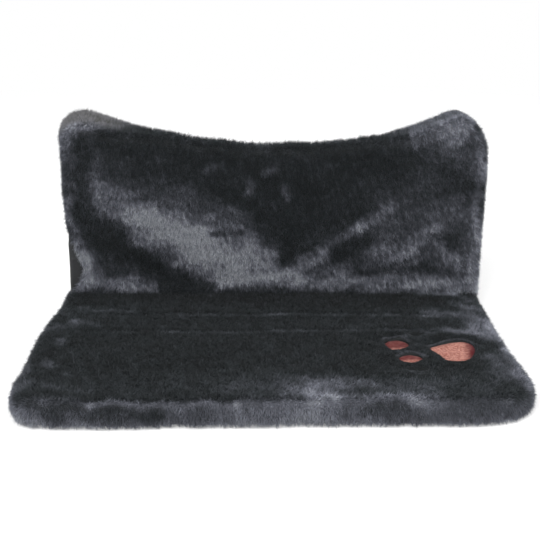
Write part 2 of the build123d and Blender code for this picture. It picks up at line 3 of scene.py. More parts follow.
import bmesh
import bpy
import numpy as np
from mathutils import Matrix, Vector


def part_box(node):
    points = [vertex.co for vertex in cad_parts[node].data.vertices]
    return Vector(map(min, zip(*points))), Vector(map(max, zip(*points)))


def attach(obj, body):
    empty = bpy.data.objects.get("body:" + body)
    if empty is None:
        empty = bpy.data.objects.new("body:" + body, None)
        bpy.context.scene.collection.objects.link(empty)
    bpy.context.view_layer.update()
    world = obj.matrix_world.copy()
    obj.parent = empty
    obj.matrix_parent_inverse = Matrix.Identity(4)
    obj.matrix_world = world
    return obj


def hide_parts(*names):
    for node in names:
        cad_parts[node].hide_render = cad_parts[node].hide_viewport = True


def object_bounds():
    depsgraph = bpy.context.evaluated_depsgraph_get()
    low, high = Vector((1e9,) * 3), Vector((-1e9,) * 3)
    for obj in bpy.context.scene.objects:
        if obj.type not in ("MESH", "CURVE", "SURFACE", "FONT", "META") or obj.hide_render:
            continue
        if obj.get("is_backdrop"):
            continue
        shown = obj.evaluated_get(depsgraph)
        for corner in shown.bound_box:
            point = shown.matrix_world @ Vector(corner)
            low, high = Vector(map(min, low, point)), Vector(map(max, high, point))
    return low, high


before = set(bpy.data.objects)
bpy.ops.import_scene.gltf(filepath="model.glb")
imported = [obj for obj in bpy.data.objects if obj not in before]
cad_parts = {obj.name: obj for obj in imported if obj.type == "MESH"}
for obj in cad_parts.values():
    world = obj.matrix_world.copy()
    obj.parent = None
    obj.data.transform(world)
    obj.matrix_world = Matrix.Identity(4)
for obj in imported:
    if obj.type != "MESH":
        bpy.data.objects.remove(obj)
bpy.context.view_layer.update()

# The studio: a white floor that keeps a faint shadow, a white surround and soft plain light.
# The camera stands where the photograph was taken from, above the front of the seat.
scene = bpy.context.scene
scene.view_settings.view_transform = "Standard"


def linear(colour):
    """A hex colour as the eye names it, turned to the linear values that the shaders take."""
    parts = np.array([int(colour[i:i + 2], 16) for i in (1, 3, 5)]) / 255
    parts = np.where(parts <= 0.04045, parts / 12.92, ((parts + 0.055) / 1.055) ** 2.4)
    return (*(float(p) for p in parts), 1.0)


def node(tree, kind, settings=None, **links):
    """Adds one node. Settings go to the node itself. Each link is a socket's name with
    underscores for blanks, or n and its number: a value or a hex colour sets the socket, and
    another node, or one of its outputs, joins it."""
    made = tree.nodes.new(kind)
    for key, value in (settings or {}).items():
        setattr(made, key, value)
    for key, value in links.items():
        numbered = key[0] == "n" and key[1:].isdigit()
        socket = made.inputs[int(key[1:]) if numbered else key.replace("_", " ")]
        if isinstance(value, bpy.types.Node):
            value = value.outputs[0]
        if isinstance(value, bpy.types.NodeSocket):
            tree.links.new(value, socket)
        else:
            socket.default_value = linear(value) if isinstance(value, str) else value
    return made


def new_material(name):
    """An empty node material and its node tree."""
    made = bpy.data.materials.new(name)
    made.use_nodes = True
    made.node_tree.nodes.clear()
    return made, made.node_tree


camera_data = bpy.data.cameras.new("camera")
camera_data.lens = 73.15
camera_data.sensor_width = 36.0
camera = bpy.data.objects.new("camera", camera_data)
camera.location = (0.0003, -1.04025, 0.407)
camera.rotation_euler = (math.radians(90 - 17.65), 0, 0)
scene.collection.objects.link(camera)
scene.camera = camera

surround = bpy.data.worlds.new("white surround")
scene.world = surround
surround.use_nodes = True
tree = surround.node_tree
tree.nodes.clear()
ray = node(tree, "ShaderNodeLightPath").outputs
seen = node(tree, "ShaderNodeMath", {"operation": "MAXIMUM"}, n0=ray["Is Camera Ray"],
            n1=ray["Is Glossy Ray"])
seen = node(tree, "ShaderNodeMath", {"operation": "MAXIMUM"}, n0=seen, n1=ray["Is Transmission Ray"])
plain = node(tree, "ShaderNodeBackground", Color="#FFFFFF", Strength=0.62)
white = node(tree, "ShaderNodeBackground", Color="#FFFFFF", Strength=1.0)
mixed = node(tree, "ShaderNodeMixShader", n0=seen, n1=plain, n2=white)
node(tree, "ShaderNodeOutputWorld", Surface=mixed)

for name, place, size, power in (
    ("key lamp", (-0.9, -1.9, 1.5), 1.3, 46.0),
    ("fill lamp", (1.7, -0.9, 0.9), 1.2, 22.0),
    ("rear lamp", (0.2, 1.9, 1.5), 1.3, 14.0),
):
    lamp = bpy.data.lights.new(name, "AREA")
    lamp.size = size
    lamp.energy = power
    held = bpy.data.objects.new(name, lamp)
    held.location = place
    aim = -held.location.copy()
    aim.z += 0.08
    held.rotation_euler = aim.to_track_quat("-Z", "Y").to_euler()
    scene.collection.objects.link(held)

# Floor: white paper under the bed. What the eye meets gets some light of its own, so the paper
# is white there and still keeps the bed's soft shadow.
paper, tree = new_material("white paper")
ray = node(tree, "ShaderNodeLightPath").outputs
seen = node(tree, "ShaderNodeMath", {"operation": "MAXIMUM"}, n0=ray["Is Camera Ray"],
            n1=ray["Is Glossy Ray"])
matt = node(tree, "ShaderNodeBsdfDiffuse", Color="#DADADA", Roughness=0.5)
lit = node(tree, "ShaderNodeEmission", Color="#FFFFFF", Strength=0.34)
both = node(tree, "ShaderNodeAddShader", n0=matt, n1=lit)
near = node(tree, "ShaderNodeMixShader", n0=seen, n1=matt, n2=both)
place = node(tree, "ShaderNodeTexCoord").outputs["Object"]
far = node(tree, "ShaderNodeVectorMath", {"operation": "LENGTH"}, n0=place).outputs["Value"]
far = node(tree, "ShaderNodeMapRange", {"interpolation_type": "SMOOTHSTEP"}, Value=far, From_Min=0.7,
           From_Max=1.8)
paler = node(tree, "ShaderNodeMath", {"operation": "MULTIPLY"}, n0=far, n1=seen)
bright = node(tree, "ShaderNodeEmission", Color="#FFFFFF", Strength=1.0)
mixed = node(tree, "ShaderNodeMixShader", n0=paler, n1=near, n2=bright)
node(tree, "ShaderNodeOutputMaterial", Surface=mixed)
floor_z, floor_half = -0.0012, 9
corners = [(x * floor_half, y * floor_half, floor_z) for x, y in ((-1, -1), (1, -1), (1, 1), (-1, 1))]
floor_mesh = bpy.data.meshes.new("floor")
floor_mesh.from_pydata(corners, [], [(0, 1, 2, 3)])
floor_mesh.materials.append(paper)
floor = bpy.data.objects.new("floor", floor_mesh)
scene.collection.objects.link(floor)
floor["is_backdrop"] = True

# Frame and hooks: bent steel tube with swaged ends, held by screws, with rubber feet, moulded end
# collars and thumb screws on the arms. These solids stay as built and get their finishes here.
def finish_solids(names, material):
    """Gives CAD nodes one material in all their slots."""
    for name in names:
        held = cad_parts[name]
        for place in held.material_slots:
            place.material = material
        if not held.material_slots:
            held.data.materials.append(material)


def hard_finish(name, fresh, worn, roughness, grain, height, metallic=0.0, patch=14.0, specular=0.5):
    """A hard surface from two colours in soft patches, with a grain in millimetres that stands
    a height in millimetres above it. The grain's hollows and tops differ a little in gloss."""
    made, tree = new_material(name)
    at = node(tree, "ShaderNodeTexCoord").outputs["Object"]
    blot = node(tree, "ShaderNodeTexNoise", Vector=at, Scale=1000 / patch, Detail=4.0, Roughness=0.6)
    fine = node(tree, "ShaderNodeTexNoise", Vector=at, Scale=1000 / grain, Detail=3.0, Roughness=0.55)
    share = node(tree, "ShaderNodeMapRange", Value=blot, From_Min=0.4, From_Max=0.7)
    colour = node(tree, "ShaderNodeMix", {"data_type": "RGBA"}, n0=share, n6=fresh,
                  n7=worn)
    rough = node(tree, "ShaderNodeMapRange", Value=fine, From_Min=0.3, From_Max=0.7,
                 To_Min=roughness - 0.06, To_Max=roughness + 0.06)
    raised = node(tree, "ShaderNodeBump", Height=fine, Strength=0.6, Distance=height / 1000)
    shader = node(tree, "ShaderNodeBsdfPrincipled", Base_Color=colour.outputs[2], Roughness=rough,
                  Metallic=metallic, Normal=raised, Specular_IOR_Level=specular)
    node(tree, "ShaderNodeOutputMaterial", Surface=shader)
    return made


# Powder coat on steel: sprayed and baked, half matt, with a faint orange peel drawn at 1.6 mm.
powder_coat = hard_finish("black powder coat", "#37393B", "#424446", 0.42, 1.6, 0.12)
# Zinc plating on steel: bright grey metal with a slight blue cast and cloudy patches.
zinc_plate = hard_finish("zinc plated steel", "#CFD1D3", "#B9BDC4", 0.32, 0.9, 0.03, metallic=1.0, patch=5.0)
# Moulded rubber: dull black, dusty where it is handled, with a fine grain from the mould.
moulded_rubber = hard_finish("moulded black rubber", "#1C1D1E", "#2B2B2B", 0.78, 0.8, 0.10, patch=9.0,
                             specular=0.35)
# Moulded nylon: black, a little glossier than the rubber, with a spark-eroded grain.
moulded_nylon = hard_finish("moulded black nylon", "#232527", "#2E3032", 0.5, 0.7, 0.07, patch=8.0)
# Enamelled zinc on the zip's slider, pull and stops: smooth gloss black, rubbed brown in patches.
zip_enamel = hard_finish("black zip enamel", "#191A1C", "#2A2622", 0.3, 1.2, 0.02, patch=4.0)
# Hardboard: pressed brown wood fibre, matt, with short dark fibres.
pressed_board = hard_finish("hardboard", "#8C6F52", "#A98964", 0.74, 0.9, 0.10, patch=6.0, specular=0.3)
for material, single, paired in (
    (powder_coat, ["seat_tube", "rear_crossbar"], ["upright", "hook"]),
    (zinc_plate, ["socket_screws", "crossbar_screws", "buffer_screws"], ["clamp_nut", "clamp_screw"]),
    (moulded_rubber, [], ["buffer", "hook_cap"]),
    (moulded_nylon, [], ["arm_shoe", "clamp_knob"]),
    (zip_enamel, ["zip_stops", "zip_slider", "zip_pull"], []),
    (pressed_board, ["seat_board"], []),
):
    finish_solids(single + [f"{hand}_{kind}" for hand in ("left", "right") for kind in paired], material)

# Everything below is worked out in millimetres about the uprights' axis: X to the right, Y towards
# the radiator and Z up from the seat's underside. The crossbar lies on that axis.
low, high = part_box("rear_crossbar")
axis_y = 500 * (low[1] + high[1])


def make_mesh(name, points, faces, merge=0.0, cloth=None):
    """An object from points in millimetres about the uprights' axis and faces of one size. Cloth
    gives each point's place on the flat cloth, in millimetres."""
    mesh = bpy.data.meshes.new(name)
    mesh.vertices.add(len(points))
    mesh.vertices.foreach_set("co", ((points + (0, axis_y, 0)) / 1000).astype(np.float32).ravel())
    mesh.loops.add(faces.size)
    mesh.loops.foreach_set("vertex_index", faces.astype(np.int32).ravel())
    mesh.polygons.add(len(faces))
    mesh.polygons.foreach_set("loop_start", np.arange(0, faces.size, faces.shape[1], dtype=np.int32))
    mesh.update(calc_edges=True)
    if cloth is not None:
        layer = mesh.attributes.new("cloth", "FLOAT_VECTOR", "POINT")
        layer.data.foreach_set("vector", cloth.astype(np.float32).ravel())
    if merge:
        work = bmesh.new()
        work.from_mesh(mesh)
        bmesh.ops.remove_doubles(work, verts=work.verts, dist=merge / 1000)
        loose = [v for v in work.verts if not v.link_faces]
        bmesh.ops.delete(work, geom=loose, context="VERTS")
        work.to_mesh(mesh)
        work.free()
    mesh.shade_smooth()
    made = bpy.data.objects.new(name, mesh)
    scene.collection.objects.link(made)
    return made


def quads(shape, first=0, keep=None, around=(False, False), turned=False):
    """Faces of a grid of points. Keep leaves faces out, around joins the last row or column to
    the first, and turned makes them face the other way."""
    index = first + np.arange(shape[0] * shape[1]).reshape(shape[:2])
    if around[0]:
        index = np.concatenate([index, index[:1]], 0)
    if around[1]:
        index = np.concatenate([index, index[:, :1]], 1)
    faces = np.stack([index[:-1, :-1], index[1:, :-1], index[1:, 1:], index[:-1, 1:]], -1)
    faces = faces[keep] if keep is not None else faces.reshape(-1, 4)
    return faces[:, ::-1] if turned else faces


def joined(name, grids, keeps=None, turned=False, around=(False, False), cloth=None):
    """One object from several grids that share their edges."""
    faces, first = [], 0
    for i, grid in enumerate(grids):
        faces.append(quads(grid.shape, first, keeps[i] if keeps else None, around, turned))
        first += grid.shape[0] * grid.shape[1]
    points = np.concatenate([g.reshape(-1, 3) for g in grids])
    return make_mesh(name, points, np.concatenate(faces), merge=0.01, cloth=cloth)


def finish_piece(made, material, stands_for=None, thickness=0.0, offset=-1.0):
    """Gives a piece its material, its cloth's thickness and its body, the bed, and hides the CAD node it
    stands for."""
    made.data.materials.append(material)
    if thickness:
        wall = made.modifiers.new("thickness", "SOLIDIFY")
        wall.thickness = thickness / 1000
        wall.offset = offset
    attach(made, "bed")
    if stands_for:
        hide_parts(stands_for)


def waves(points, size, seed, count=22):
    """Smooth seeded unevenness of about one either way: a sum of waves of about one length that
    run in all directions."""
    rng = np.random.default_rng(seed)
    way = rng.normal(size=(count, 3))
    way *= 2 * np.pi / (size * rng.uniform(0.7, 1.5, (count, 1))) / np.linalg.norm(way, axis=1, keepdims=True)
    phase = rng.uniform(0, 2 * np.pi, count)
    total = np.zeros(points.shape[:-1])
    for w, p in zip(way, phase):
        total += np.sin(points @ w + p)
    return total * math.sqrt(2 / count)


# Foam pad: 12 mm of soft polyether foam on the board. It is cut to the board's outline, crowned a
# little where the cover's slack leaves it free, and its cut edges are softened.
def round_plan(half_x, near_y, far_y, corner, margin, count=24):
    """Outline of the seat's flat layers, drawn in by a margin: straight at the back, with two
    quarter circles at the front. Runs from the back's left end round to its right end."""
    x, r = half_x - margin, corner - margin
    y0, y1 = near_y + margin, far_y - margin
    turn = np.radians(np.linspace(180, 270, count))
    left = np.column_stack([-x + r + r * np.cos(turn), y0 + r + r * np.sin(turn)])
    right = (left * (-1, 1))[::-1]
    side = np.linspace(y1, y0 + r, count, endpoint=False)
    front = np.linspace(-x + r, x - r, 2 * count)[1:-1]
    back = np.linspace(x, -x, 2 * count)[1:-1]
    return np.concatenate([np.column_stack([np.full(count, -x), side]), left,
                           np.column_stack([front, np.full(len(front), y0)]), right,
                           np.column_stack([np.full(count, x), side])[::-1],
                           np.column_stack([back, np.full(len(back), y1)])])


foam_half, foam_near, foam_far, foam_corner = 194.6, -264.6, -17.0, 24.0
foam_low, foam_high, foam_soft, foam_crown = 4.7, 16.0, 2.4, 0.7
middle = np.array([0, (foam_near + foam_far) / 2])
outward = (0.0, 0.25, 0.5, 0.75, 0.93)
levels = [(share, foam_soft, foam_low) for share in outward]
for turn in np.radians(np.linspace(-90, 90, 9)):
    bend_z = foam_low + foam_soft if turn < 0 else foam_high - foam_soft
    levels.append((1.0, foam_soft * (1 - math.cos(turn)), bend_z + foam_soft * math.sin(turn)))
levels += [(share, foam_soft, foam_high + foam_crown * (1 - share ** 2)) for share in outward[::-1]]
foam_rings = []
for share, margin, z in levels:
    edge = round_plan(foam_half, foam_near, foam_far, foam_corner, margin)
    foam_rings.append(np.column_stack([middle + (edge - middle) * share, np.full(len(edge), z)]))
foam_block = np.stack(foam_rings)
cut_sides = foam_block[len(outward):-len(outward)]
cut_sides[..., :2] += 0.25 * np.dstack([waves(cut_sides, 25, 3), waves(cut_sides, 25, 4)])
foam = joined("foam_block", [foam_block], around=(False, True))
# Polyether foam: pale cream with open cells, drawn at 1.4 mm, and slightly yellowed patches.
cut_foam, tree = new_material("open cell foam")
at = node(tree, "ShaderNodeTexCoord").outputs["Object"]
cells = node(tree, "ShaderNodeTexVoronoi", Vector=at, Scale=1000 / 1.4, Randomness=1.0)
blot = node(tree, "ShaderNodeTexNoise", Vector=at, Scale=1000 / 30, Detail=3.0)
tint = node(tree, "ShaderNodeMix", {"data_type": "RGBA"}, n0=blot, n6="#EDEAE0",
            n7="#E2DAC2")
pit = node(tree, "ShaderNodeMapRange", Value=cells.outputs["Distance"], To_Min=0.8, To_Max=1.05)
tint = node(tree, "ShaderNodeVectorMath", {"operation": "SCALE"}, n0=tint.outputs[2], Scale=pit)
raised = node(tree, "ShaderNodeBump", {"invert": True}, Height=cells.outputs["Distance"], Strength=0.7,
              Distance=0.0005)
shader = node(tree, "ShaderNodeBsdfPrincipled", Base_Color=tint, Roughness=0.9,
              Specular_IOR_Level=0.2, Normal=raised)
node(tree, "ShaderNodeOutputMaterial", Surface=shader)
finish_piece(foam, cut_foam, "foam_pad")


# Seat base: one panel of plain woven black polyester that closes the seat's underside. It is sewn
# to the plush all round, and lies nearly flat under the board.
def woven_cloth(name, dark, light, spacing, roughness=0.6, sheen=0.2, twill=False):
    """Plain weave from the cloth's own millimetres: two sets of threads, each a half wave
    across its width, that pass over each other by turns. A twill shifts each row by one."""
    made, tree = new_material(name)
    place = node(tree, "ShaderNodeAttribute", {"attribute_name": "cloth"}).outputs["Vector"]
    at = node(tree, "ShaderNodeVectorMath", {"operation": "SCALE"}, n0=place, Scale=1 / spacing)
    axes = node(tree, "ShaderNodeSeparateXYZ", Vector=at).outputs
    threads = []
    for axis in ("X", "Y"):
        turn = node(tree, "ShaderNodeMath", {"operation": "MULTIPLY"}, n0=axes[axis], n1=math.pi)
        wave = node(tree, "ShaderNodeMath", {"operation": "SINE"}, n0=turn)
        threads.append(node(tree, "ShaderNodeMath", {"operation": "ABSOLUTE"}, n0=wave))
    over = node(tree, "ShaderNodeTexChecker", Vector=at, Color1="#FFFFFF", Color2="#000000", Scale=1.0)
    if twill:
        slant = node(tree, "ShaderNodeMath", {"operation": "ADD"}, n0=axes["X"], n1=axes["Y"])
        slant = node(tree, "ShaderNodeMath", {"operation": "MULTIPLY"}, n0=slant, n1=0.5)
        slant = node(tree, "ShaderNodeMath", {"operation": "FRACT"}, n0=slant)
        over = node(tree, "ShaderNodeMath", {"operation": "GREATER_THAN"}, n0=slant, n1=0.5)
    height = node(tree, "ShaderNodeMix", {"data_type": "FLOAT"}, n0=over, n2=threads[0], n3=threads[1])
    blot = node(tree, "ShaderNodeTexNoise", Vector=place, Scale=0.05, Detail=5.0)
    share = node(tree, "ShaderNodeMath", {"operation": "MULTIPLY"}, n0=height, n1=blot)
    share = node(tree, "ShaderNodeMapRange", Value=share, From_Max=0.7)
    colour = node(tree, "ShaderNodeMix", {"data_type": "RGBA"}, n0=share, n6=dark,
                  n7=light)
    raised = node(tree, "ShaderNodeBump", Height=height, Strength=0.5, Distance=0.00015)
    shader = node(tree, "ShaderNodeBsdfPrincipled", Base_Color=colour.outputs[2], Roughness=roughness,
                  Sheen_Weight=sheen, Sheen_Roughness=0.4, Specular_IOR_Level=0.35, Normal=raised)
    node(tree, "ShaderNodeOutputMaterial", Surface=shader)
    return made


# Lining: plain woven polyester, black with a dull sheen. Its threads are drawn at 1 mm, about
# three times their real width, so that the weave shows.
black_lining = woven_cloth("black woven lining", "#121314", "#2A2B2E", 1.0)


def cloth_panel(name, grid, material, stands_for, thickness=1.0, keep=None,
                cloth=None):
    """A panel of woven cloth from a grid of points through its middle. Unless each point's place
    on the flat cloth is given, it is the millimetres along the grid's middle row and column."""
    rows, columns = grid.shape[:2]
    if cloth is None:
        across, along = (np.r_[0, np.cumsum(np.linalg.norm(np.diff(line, axis=0), axis=1))]
                         for line in (grid[rows // 2], grid[:, columns // 2]))
        cloth = np.dstack([*np.meshgrid(across, along), np.zeros((rows, columns))])
    made = make_mesh(name, grid.reshape(-1, 3), quads(grid.shape, keep=keep), merge=0.001,
                     cloth=cloth.reshape(-1, 3))
    finish_piece(made, material, stands_for, thickness, offset=0.0)


base_middle, base_z = np.array([0, -138.0]), 0.62
base_outline = round_plan(213.8, -283.8, 7.8, 46.0, 0)
base_plan = np.stack([base_middle + (base_outline - base_middle) * share for share in np.linspace(1, 0, 30)])
base_panel = np.dstack([base_plan, np.zeros(base_plan.shape[:2])])
base_panel[..., 2] = base_z + 0.12 * waves(base_panel, 45, 24)
base_panel = np.concatenate([base_panel, base_panel[:, :1]], 1)
cloth_panel("seat_base_panel", base_panel, black_lining, "seat_cover_base",
            thickness=0.9, cloth=base_panel * (1, 1, 0))

# Paw backing: one sheet of brushed salmon suede under the seat's windows. It bulges up a little in the pad's
# window. Its colour carries painted shade near each window's edge, most along the far edge and the pad's
# right side, and in the toes, with a painted highlight along each toe's near edge.
def curve_through(knots, share):
    """Points at shares 0 to 1 of the way along a smooth line through the knots. Each stretch is
    a cubic whose slope at a knot is the slope between that knot's neighbours."""
    knots = np.asarray(knots, float)
    run = np.r_[0, np.cumsum(np.linalg.norm(np.diff(knots[:, :2], axis=0), axis=1))]
    at = np.clip(share, 0, 1) * run[-1]
    slope = np.gradient(knots, run, axis=0)
    i = np.clip(np.searchsorted(run, at, side="right") - 1, 0, len(run) - 2)
    gap = (run[i + 1] - run[i])[:, None]
    s = (at - run[i])[:, None] / gap
    return ((1 + 2 * s) * (1 - s) ** 2 * knots[i] + s * (1 - s) ** 2 * gap * slope[i]
            + s * s * (3 - 2 * s) * knots[i + 1] + s * s * (s - 1) * gap * slope[i + 1])


window_knots = {
    "pad": ((173, -178), [(150.3, -170.6), (165, -156.4), (176.4, -151.4), (186.2, -150.4), (192.4, -157.7),
                          (193.2, -172.1), (189.5, -185.0), (182.7, -198.2), (176.8, -203.0), (168.7, -203.0),
                          (162.6, -200.6), (157.4, -187.0), (152.6, -177.6)]),
    "toe_1": ((120.5, -162), [(109.3, -156.4), (116.1, -148.5), (123.6, -147.4), (129.7, -151.4),
                              (132.2, -164.4), (127.1, -172.1), (120.4, -175.6), (115.1, -176.4),
                              (110.4, -167.8)]),
    "toe_2": ((130, -194.5), [(118.4, -194.2), (123.4, -187.3), (129.9, -184.3), (136.7, -187.3),
                              (141.2, -195.4), (135.9, -201.4), (129.4, -204.8), (122.5, -202.9)]),
    "toe_3": ((133, -221), [(123, -220), (132, -217.6), (143, -220), (142, -223.5), (133, -225.2),
                            (124, -223)]),
    "toe_4": ((144, -136), [(134, -137), (141, -133.2), (151, -132.8), (155, -136), (148, -138.8),
                            (138, -139.8)]),
}
window_gape = 0.8       # how far the plush draws back from the three open windows
open_near_y, open_far_y = -212, -143.5      # those three lie between these lines
window_step = np.linspace(-np.pi, np.pi, 73)[:-1]
windows = {}
for name, (middle, knots) in window_knots.items():
    loop = curve_through([*knots[-2:], *knots, *knots[:2]], np.linspace(0, 1, 400)) - middle
    angle = np.arctan2(loop[:, 1], loop[:, 0])
    order = np.argsort(angle)
    radius = np.interp(window_step, angle[order], np.hypot(*loop.T)[order], period=2 * np.pi)
    gape = window_gape if name in ("pad", "toe_1", "toe_2") else 0.0
    windows[name] = (np.array(middle, float), radius + gape)


def from_window(x, y):
    """Millimetres outside the nearest window's edge, measured from that window's middle."""
    nearest = np.full(np.shape(x), 1e3)
    for middle, radius in windows.values():
        angle = np.arctan2(y - middle[1], x - middle[0])
        edge = np.interp(angle, window_step, radius, period=2 * np.pi)
        nearest = np.minimum(nearest, np.hypot(x - middle[0], y - middle[1]) - edge)
    return nearest


suede_x = np.linspace(97.0, 194.6, 112)
suede_y = np.linspace(-249.6, -118.4, 140)
suede = np.dstack([*np.meshgrid(suede_x, suede_y), np.zeros((140, 112))])
depth = np.clip(3 - from_window(suede[..., 0], suede[..., 1]), 0, 30)
depth = depth * (suede[..., 1] > open_near_y) * (suede[..., 1] < open_far_y)
in_pad = (suede[..., 0] > 146) & (suede[..., 1] < -140) & (suede[..., 1] > open_near_y)
suede_z, pad_bulge, toe_bulge = 17.4, 4.7, 5.0
suede[..., 2] = suede_z + (1 - np.exp(-depth / 2.4)) * np.where(in_pad, pad_bulge, toe_bulge)
suede[..., 2] += 0.2 * waves(suede, 16, 28) * np.clip(depth / 4, 0, 1)
suede_sheet = make_mesh("paw_suede", suede.reshape(-1, 3), quads(suede.shape))
# Painted shade: the pad darkens towards its right side and near its edges, most at the far edge; the toes are
# dark, with a painted highlight along their near edge.
far_side = np.clip((suede[..., 0] - 180.5 - 0.12 * (suede[..., 1] + 178)) / 7.5, 0, 1)
toe_low = np.where(suede[..., 1] > -180, -166.0, -195.0)
far_edge = 0.2 + 0.7 * np.clip((suede[..., 1] + 182) / 14 + (suede[..., 0] - 172) / 40, 0, 1)
suede_tone_and_painted_light = np.where(in_pad, 1 - np.exp(-np.clip(depth - 3, 0, 30) / 2.2) * far_edge - 0.85 * far_side,
                   0.13 + 0.7 * np.clip((toe_low - suede[..., 1]) / 5, 0, 1))
suede_tone_and_painted_light += 0.05 * waves(suede, 5, 29)
layer = suede_sheet.data.color_attributes.new("tone_and_painted_light", "FLOAT_COLOR", "POINT")
layer.data.foreach_set("color", np.repeat(np.clip(suede_tone_and_painted_light, 0, 1).ravel(), 4).astype(np.float32))
# Brushed suede cloth: salmon pink, with short fibres that catch the light in specks. They are
# drawn at 1.8 mm, twice their real size, so that they show.
pink_suede, tree = new_material("brushed salmon suede")
at = node(tree, "ShaderNodeTexCoord").outputs["Object"]
held = node(tree, "ShaderNodeAttribute", {"attribute_name": "tone_and_painted_light"})
fine = node(tree, "ShaderNodeTexNoise", Vector=at, Scale=1000 / 1.8, Detail=3.0, Roughness=0.7)
blot = node(tree, "ShaderNodeTexNoise", Vector=at, Scale=1000 / 9, Detail=3.0)
speck = node(tree, "ShaderNodeMapRange", Value=fine, From_Min=0.34, From_Max=0.66)
tint = node(tree, "ShaderNodeMix", {"data_type": "RGBA"}, n0=speck, n6="#844439",
            n7="#CC9587")
cloud = node(tree, "ShaderNodeMapRange", Value=blot, From_Min=0.35, From_Max=0.65, To_Min=0.9,
             To_Max=1.06)
tint = node(tree, "ShaderNodeVectorMath", {"operation": "SCALE"}, n0=tint.outputs[2], Scale=cloud)
# The painted shade held in the attribute mixes the suede's colour towards #56181C.
shaded = node(tree, "ShaderNodeMix", {"data_type": "RGBA"}, n0=held.outputs["Color"],
              n6="#56181C", n7=tint)
raised = node(tree, "ShaderNodeBump", Height=fine, Strength=0.7, Distance=0.0006)
shader = node(tree, "ShaderNodeBsdfPrincipled", Base_Color=shaded.outputs[2], Roughness=0.85,
              Sheen_Weight=0.05, Sheen_Roughness=0.5, Specular_IOR_Level=0.1, Normal=raised)
node(tree, "ShaderNodeOutputMaterial", Surface=shader)
finish_piece(suede_sheet, pink_suede, "paw_backing", thickness=0.9, offset=0.0)

# Plush. A knitted backing cloth carries a dense pile of polyester fibres about 5 mm long.
# The pile leans; its colour carries painted sheen and painted shade, blue-grey where the pile would catch the
# light and dark where it lies away or lies in shadow.
def plush_material(name, sheen):
    """Short charcoal plush: the pile attribute holds each fibre's share from root to tip, which makes the
    roots darker as painted shade deep in the pile, its tone with painted sheen and shade, its own lightness
    and how brown it has faded."""
    made, tree = new_material(name)
    held = node(tree, "ShaderNodeAttribute", {"attribute_name": "pile"})
    part = node(tree, "ShaderNodeSeparateColor", Color=held.outputs["Color"]).outputs
    ramp = node(tree, "ShaderNodeValToRGB", Fac=part["Green"])
    stops = ramp.color_ramp.elements
    stops[0].position, stops[0].color = 0.0, linear("#0F1313")
    stops[1].position, stops[1].color = 1.0, linear("#C6CAD2")
    for place, colour in ((0.25, "#2A3032"), (0.5, "#5E6169"), (0.75, "#9497A3")):
        stop = stops.new(place)
        stop.color = linear(colour)
    faded = node(tree, "ShaderNodeMix", {"data_type": "RGBA"}, n0=held.outputs["Alpha"],
                 n6=ramp.outputs["Color"], n7="#7D7A74")
    # Darker roots and lighter tips: painted shade deep in the pile.
    depth = node(tree, "ShaderNodeMapRange", Value=part["Red"], To_Min=0.32, To_Max=1.08)
    grain = node(tree, "ShaderNodeMapRange", Value=part["Blue"], To_Min=0.72, To_Max=1.28)
    level = node(tree, "ShaderNodeMath", {"operation": "MULTIPLY"}, n0=depth, n1=grain)
    colour = node(tree, "ShaderNodeVectorMath", {"operation": "SCALE"}, n0=faded.outputs[2],
                  Scale=level)
    shader = node(tree, "ShaderNodeBsdfPrincipled", Base_Color=colour, Roughness=0.62,
                  Specular_IOR_Level=0.25, Sheen_Weight=sheen, Sheen_Roughness=0.45,
                  Sheen_Tint="#B9BCCB")
    node(tree, "ShaderNodeOutputMaterial", Surface=shader)
    return made


plush_strands = plush_material("polyester pile", 0.13)
plush_ground = plush_material("knitted plush backing", 0.05)


def set_pile(made, along, shade, grain, faded):
    """Writes the pile attribute of a mesh's points."""
    parts = np.stack(np.broadcast_arrays(along, shade, grain, faded), -1)
    layer = made.data.color_attributes.new("pile", "FLOAT_COLOR", "POINT")
    layer.data.foreach_set("color", parts.astype(np.float32).ravel())


def scatter(grid, per_mm2, rng, turned=False, keep=None):
    """Seeded places on a grid, evenly by area, and the way out of the surface there. A face's
    area is half the cross product of its diagonals."""
    a, b, c, d = grid[:-1, :-1], grid[1:, :-1], grid[1:, 1:], grid[:-1, 1:]
    out = np.cross(c - a, d - b) * (-1 if turned else 1)
    area = np.linalg.norm(out, axis=-1) / 2
    out = out / np.maximum(2 * area, 1e-9)[..., None]
    weight = area if keep is None else area * keep
    total = np.cumsum(weight.ravel())
    count = int(total[-1] * per_mm2)
    pick = np.minimum(np.searchsorted(total, rng.random(count) * total[-1]), area.size - 1)
    i, j = np.unravel_index(pick, area.shape)
    s, t = rng.random((2, count, 1))
    places = (1 - s) * (1 - t) * a[i, j] + s * (1 - t) * b[i, j] + s * t * c[i, j] + (1 - s) * t * d[i, j]
    return places, out[i, j]


def unit(vectors):
    """Vectors of length one."""
    return vectors / np.maximum(np.linalg.norm(vectors, axis=-1, keepdims=True), 1e-9)


comb = np.array([0.1, -0.5, -1.0])      # where the pile is stroked: down and towards the front


def lean_ways(places, out, lean, rng, clump, size, seed):
    """The way each fibre points: out of the cloth, tipped by a lean in degrees towards where the
    comb's stroke runs along the cloth, with smooth unevenness that gathers fibres in clumps."""
    stray = np.stack([waves(places, size, seed + k, 14) for k in range(3)], -1) * clump
    flow = comb + stray + rng.normal(0, 0.42, places.shape)
    along = unit(flow - (flow * out).sum(-1, keepdims=True) * out)
    angle = np.radians(lean + rng.normal(0, 11, len(places)))[..., None]
    return unit(np.cos(angle) * out + np.sin(angle) * along)


root_sink = 0.8         # how deep the fibres stand in the cloth
lowest_fibre = -0.8     # just above the floor


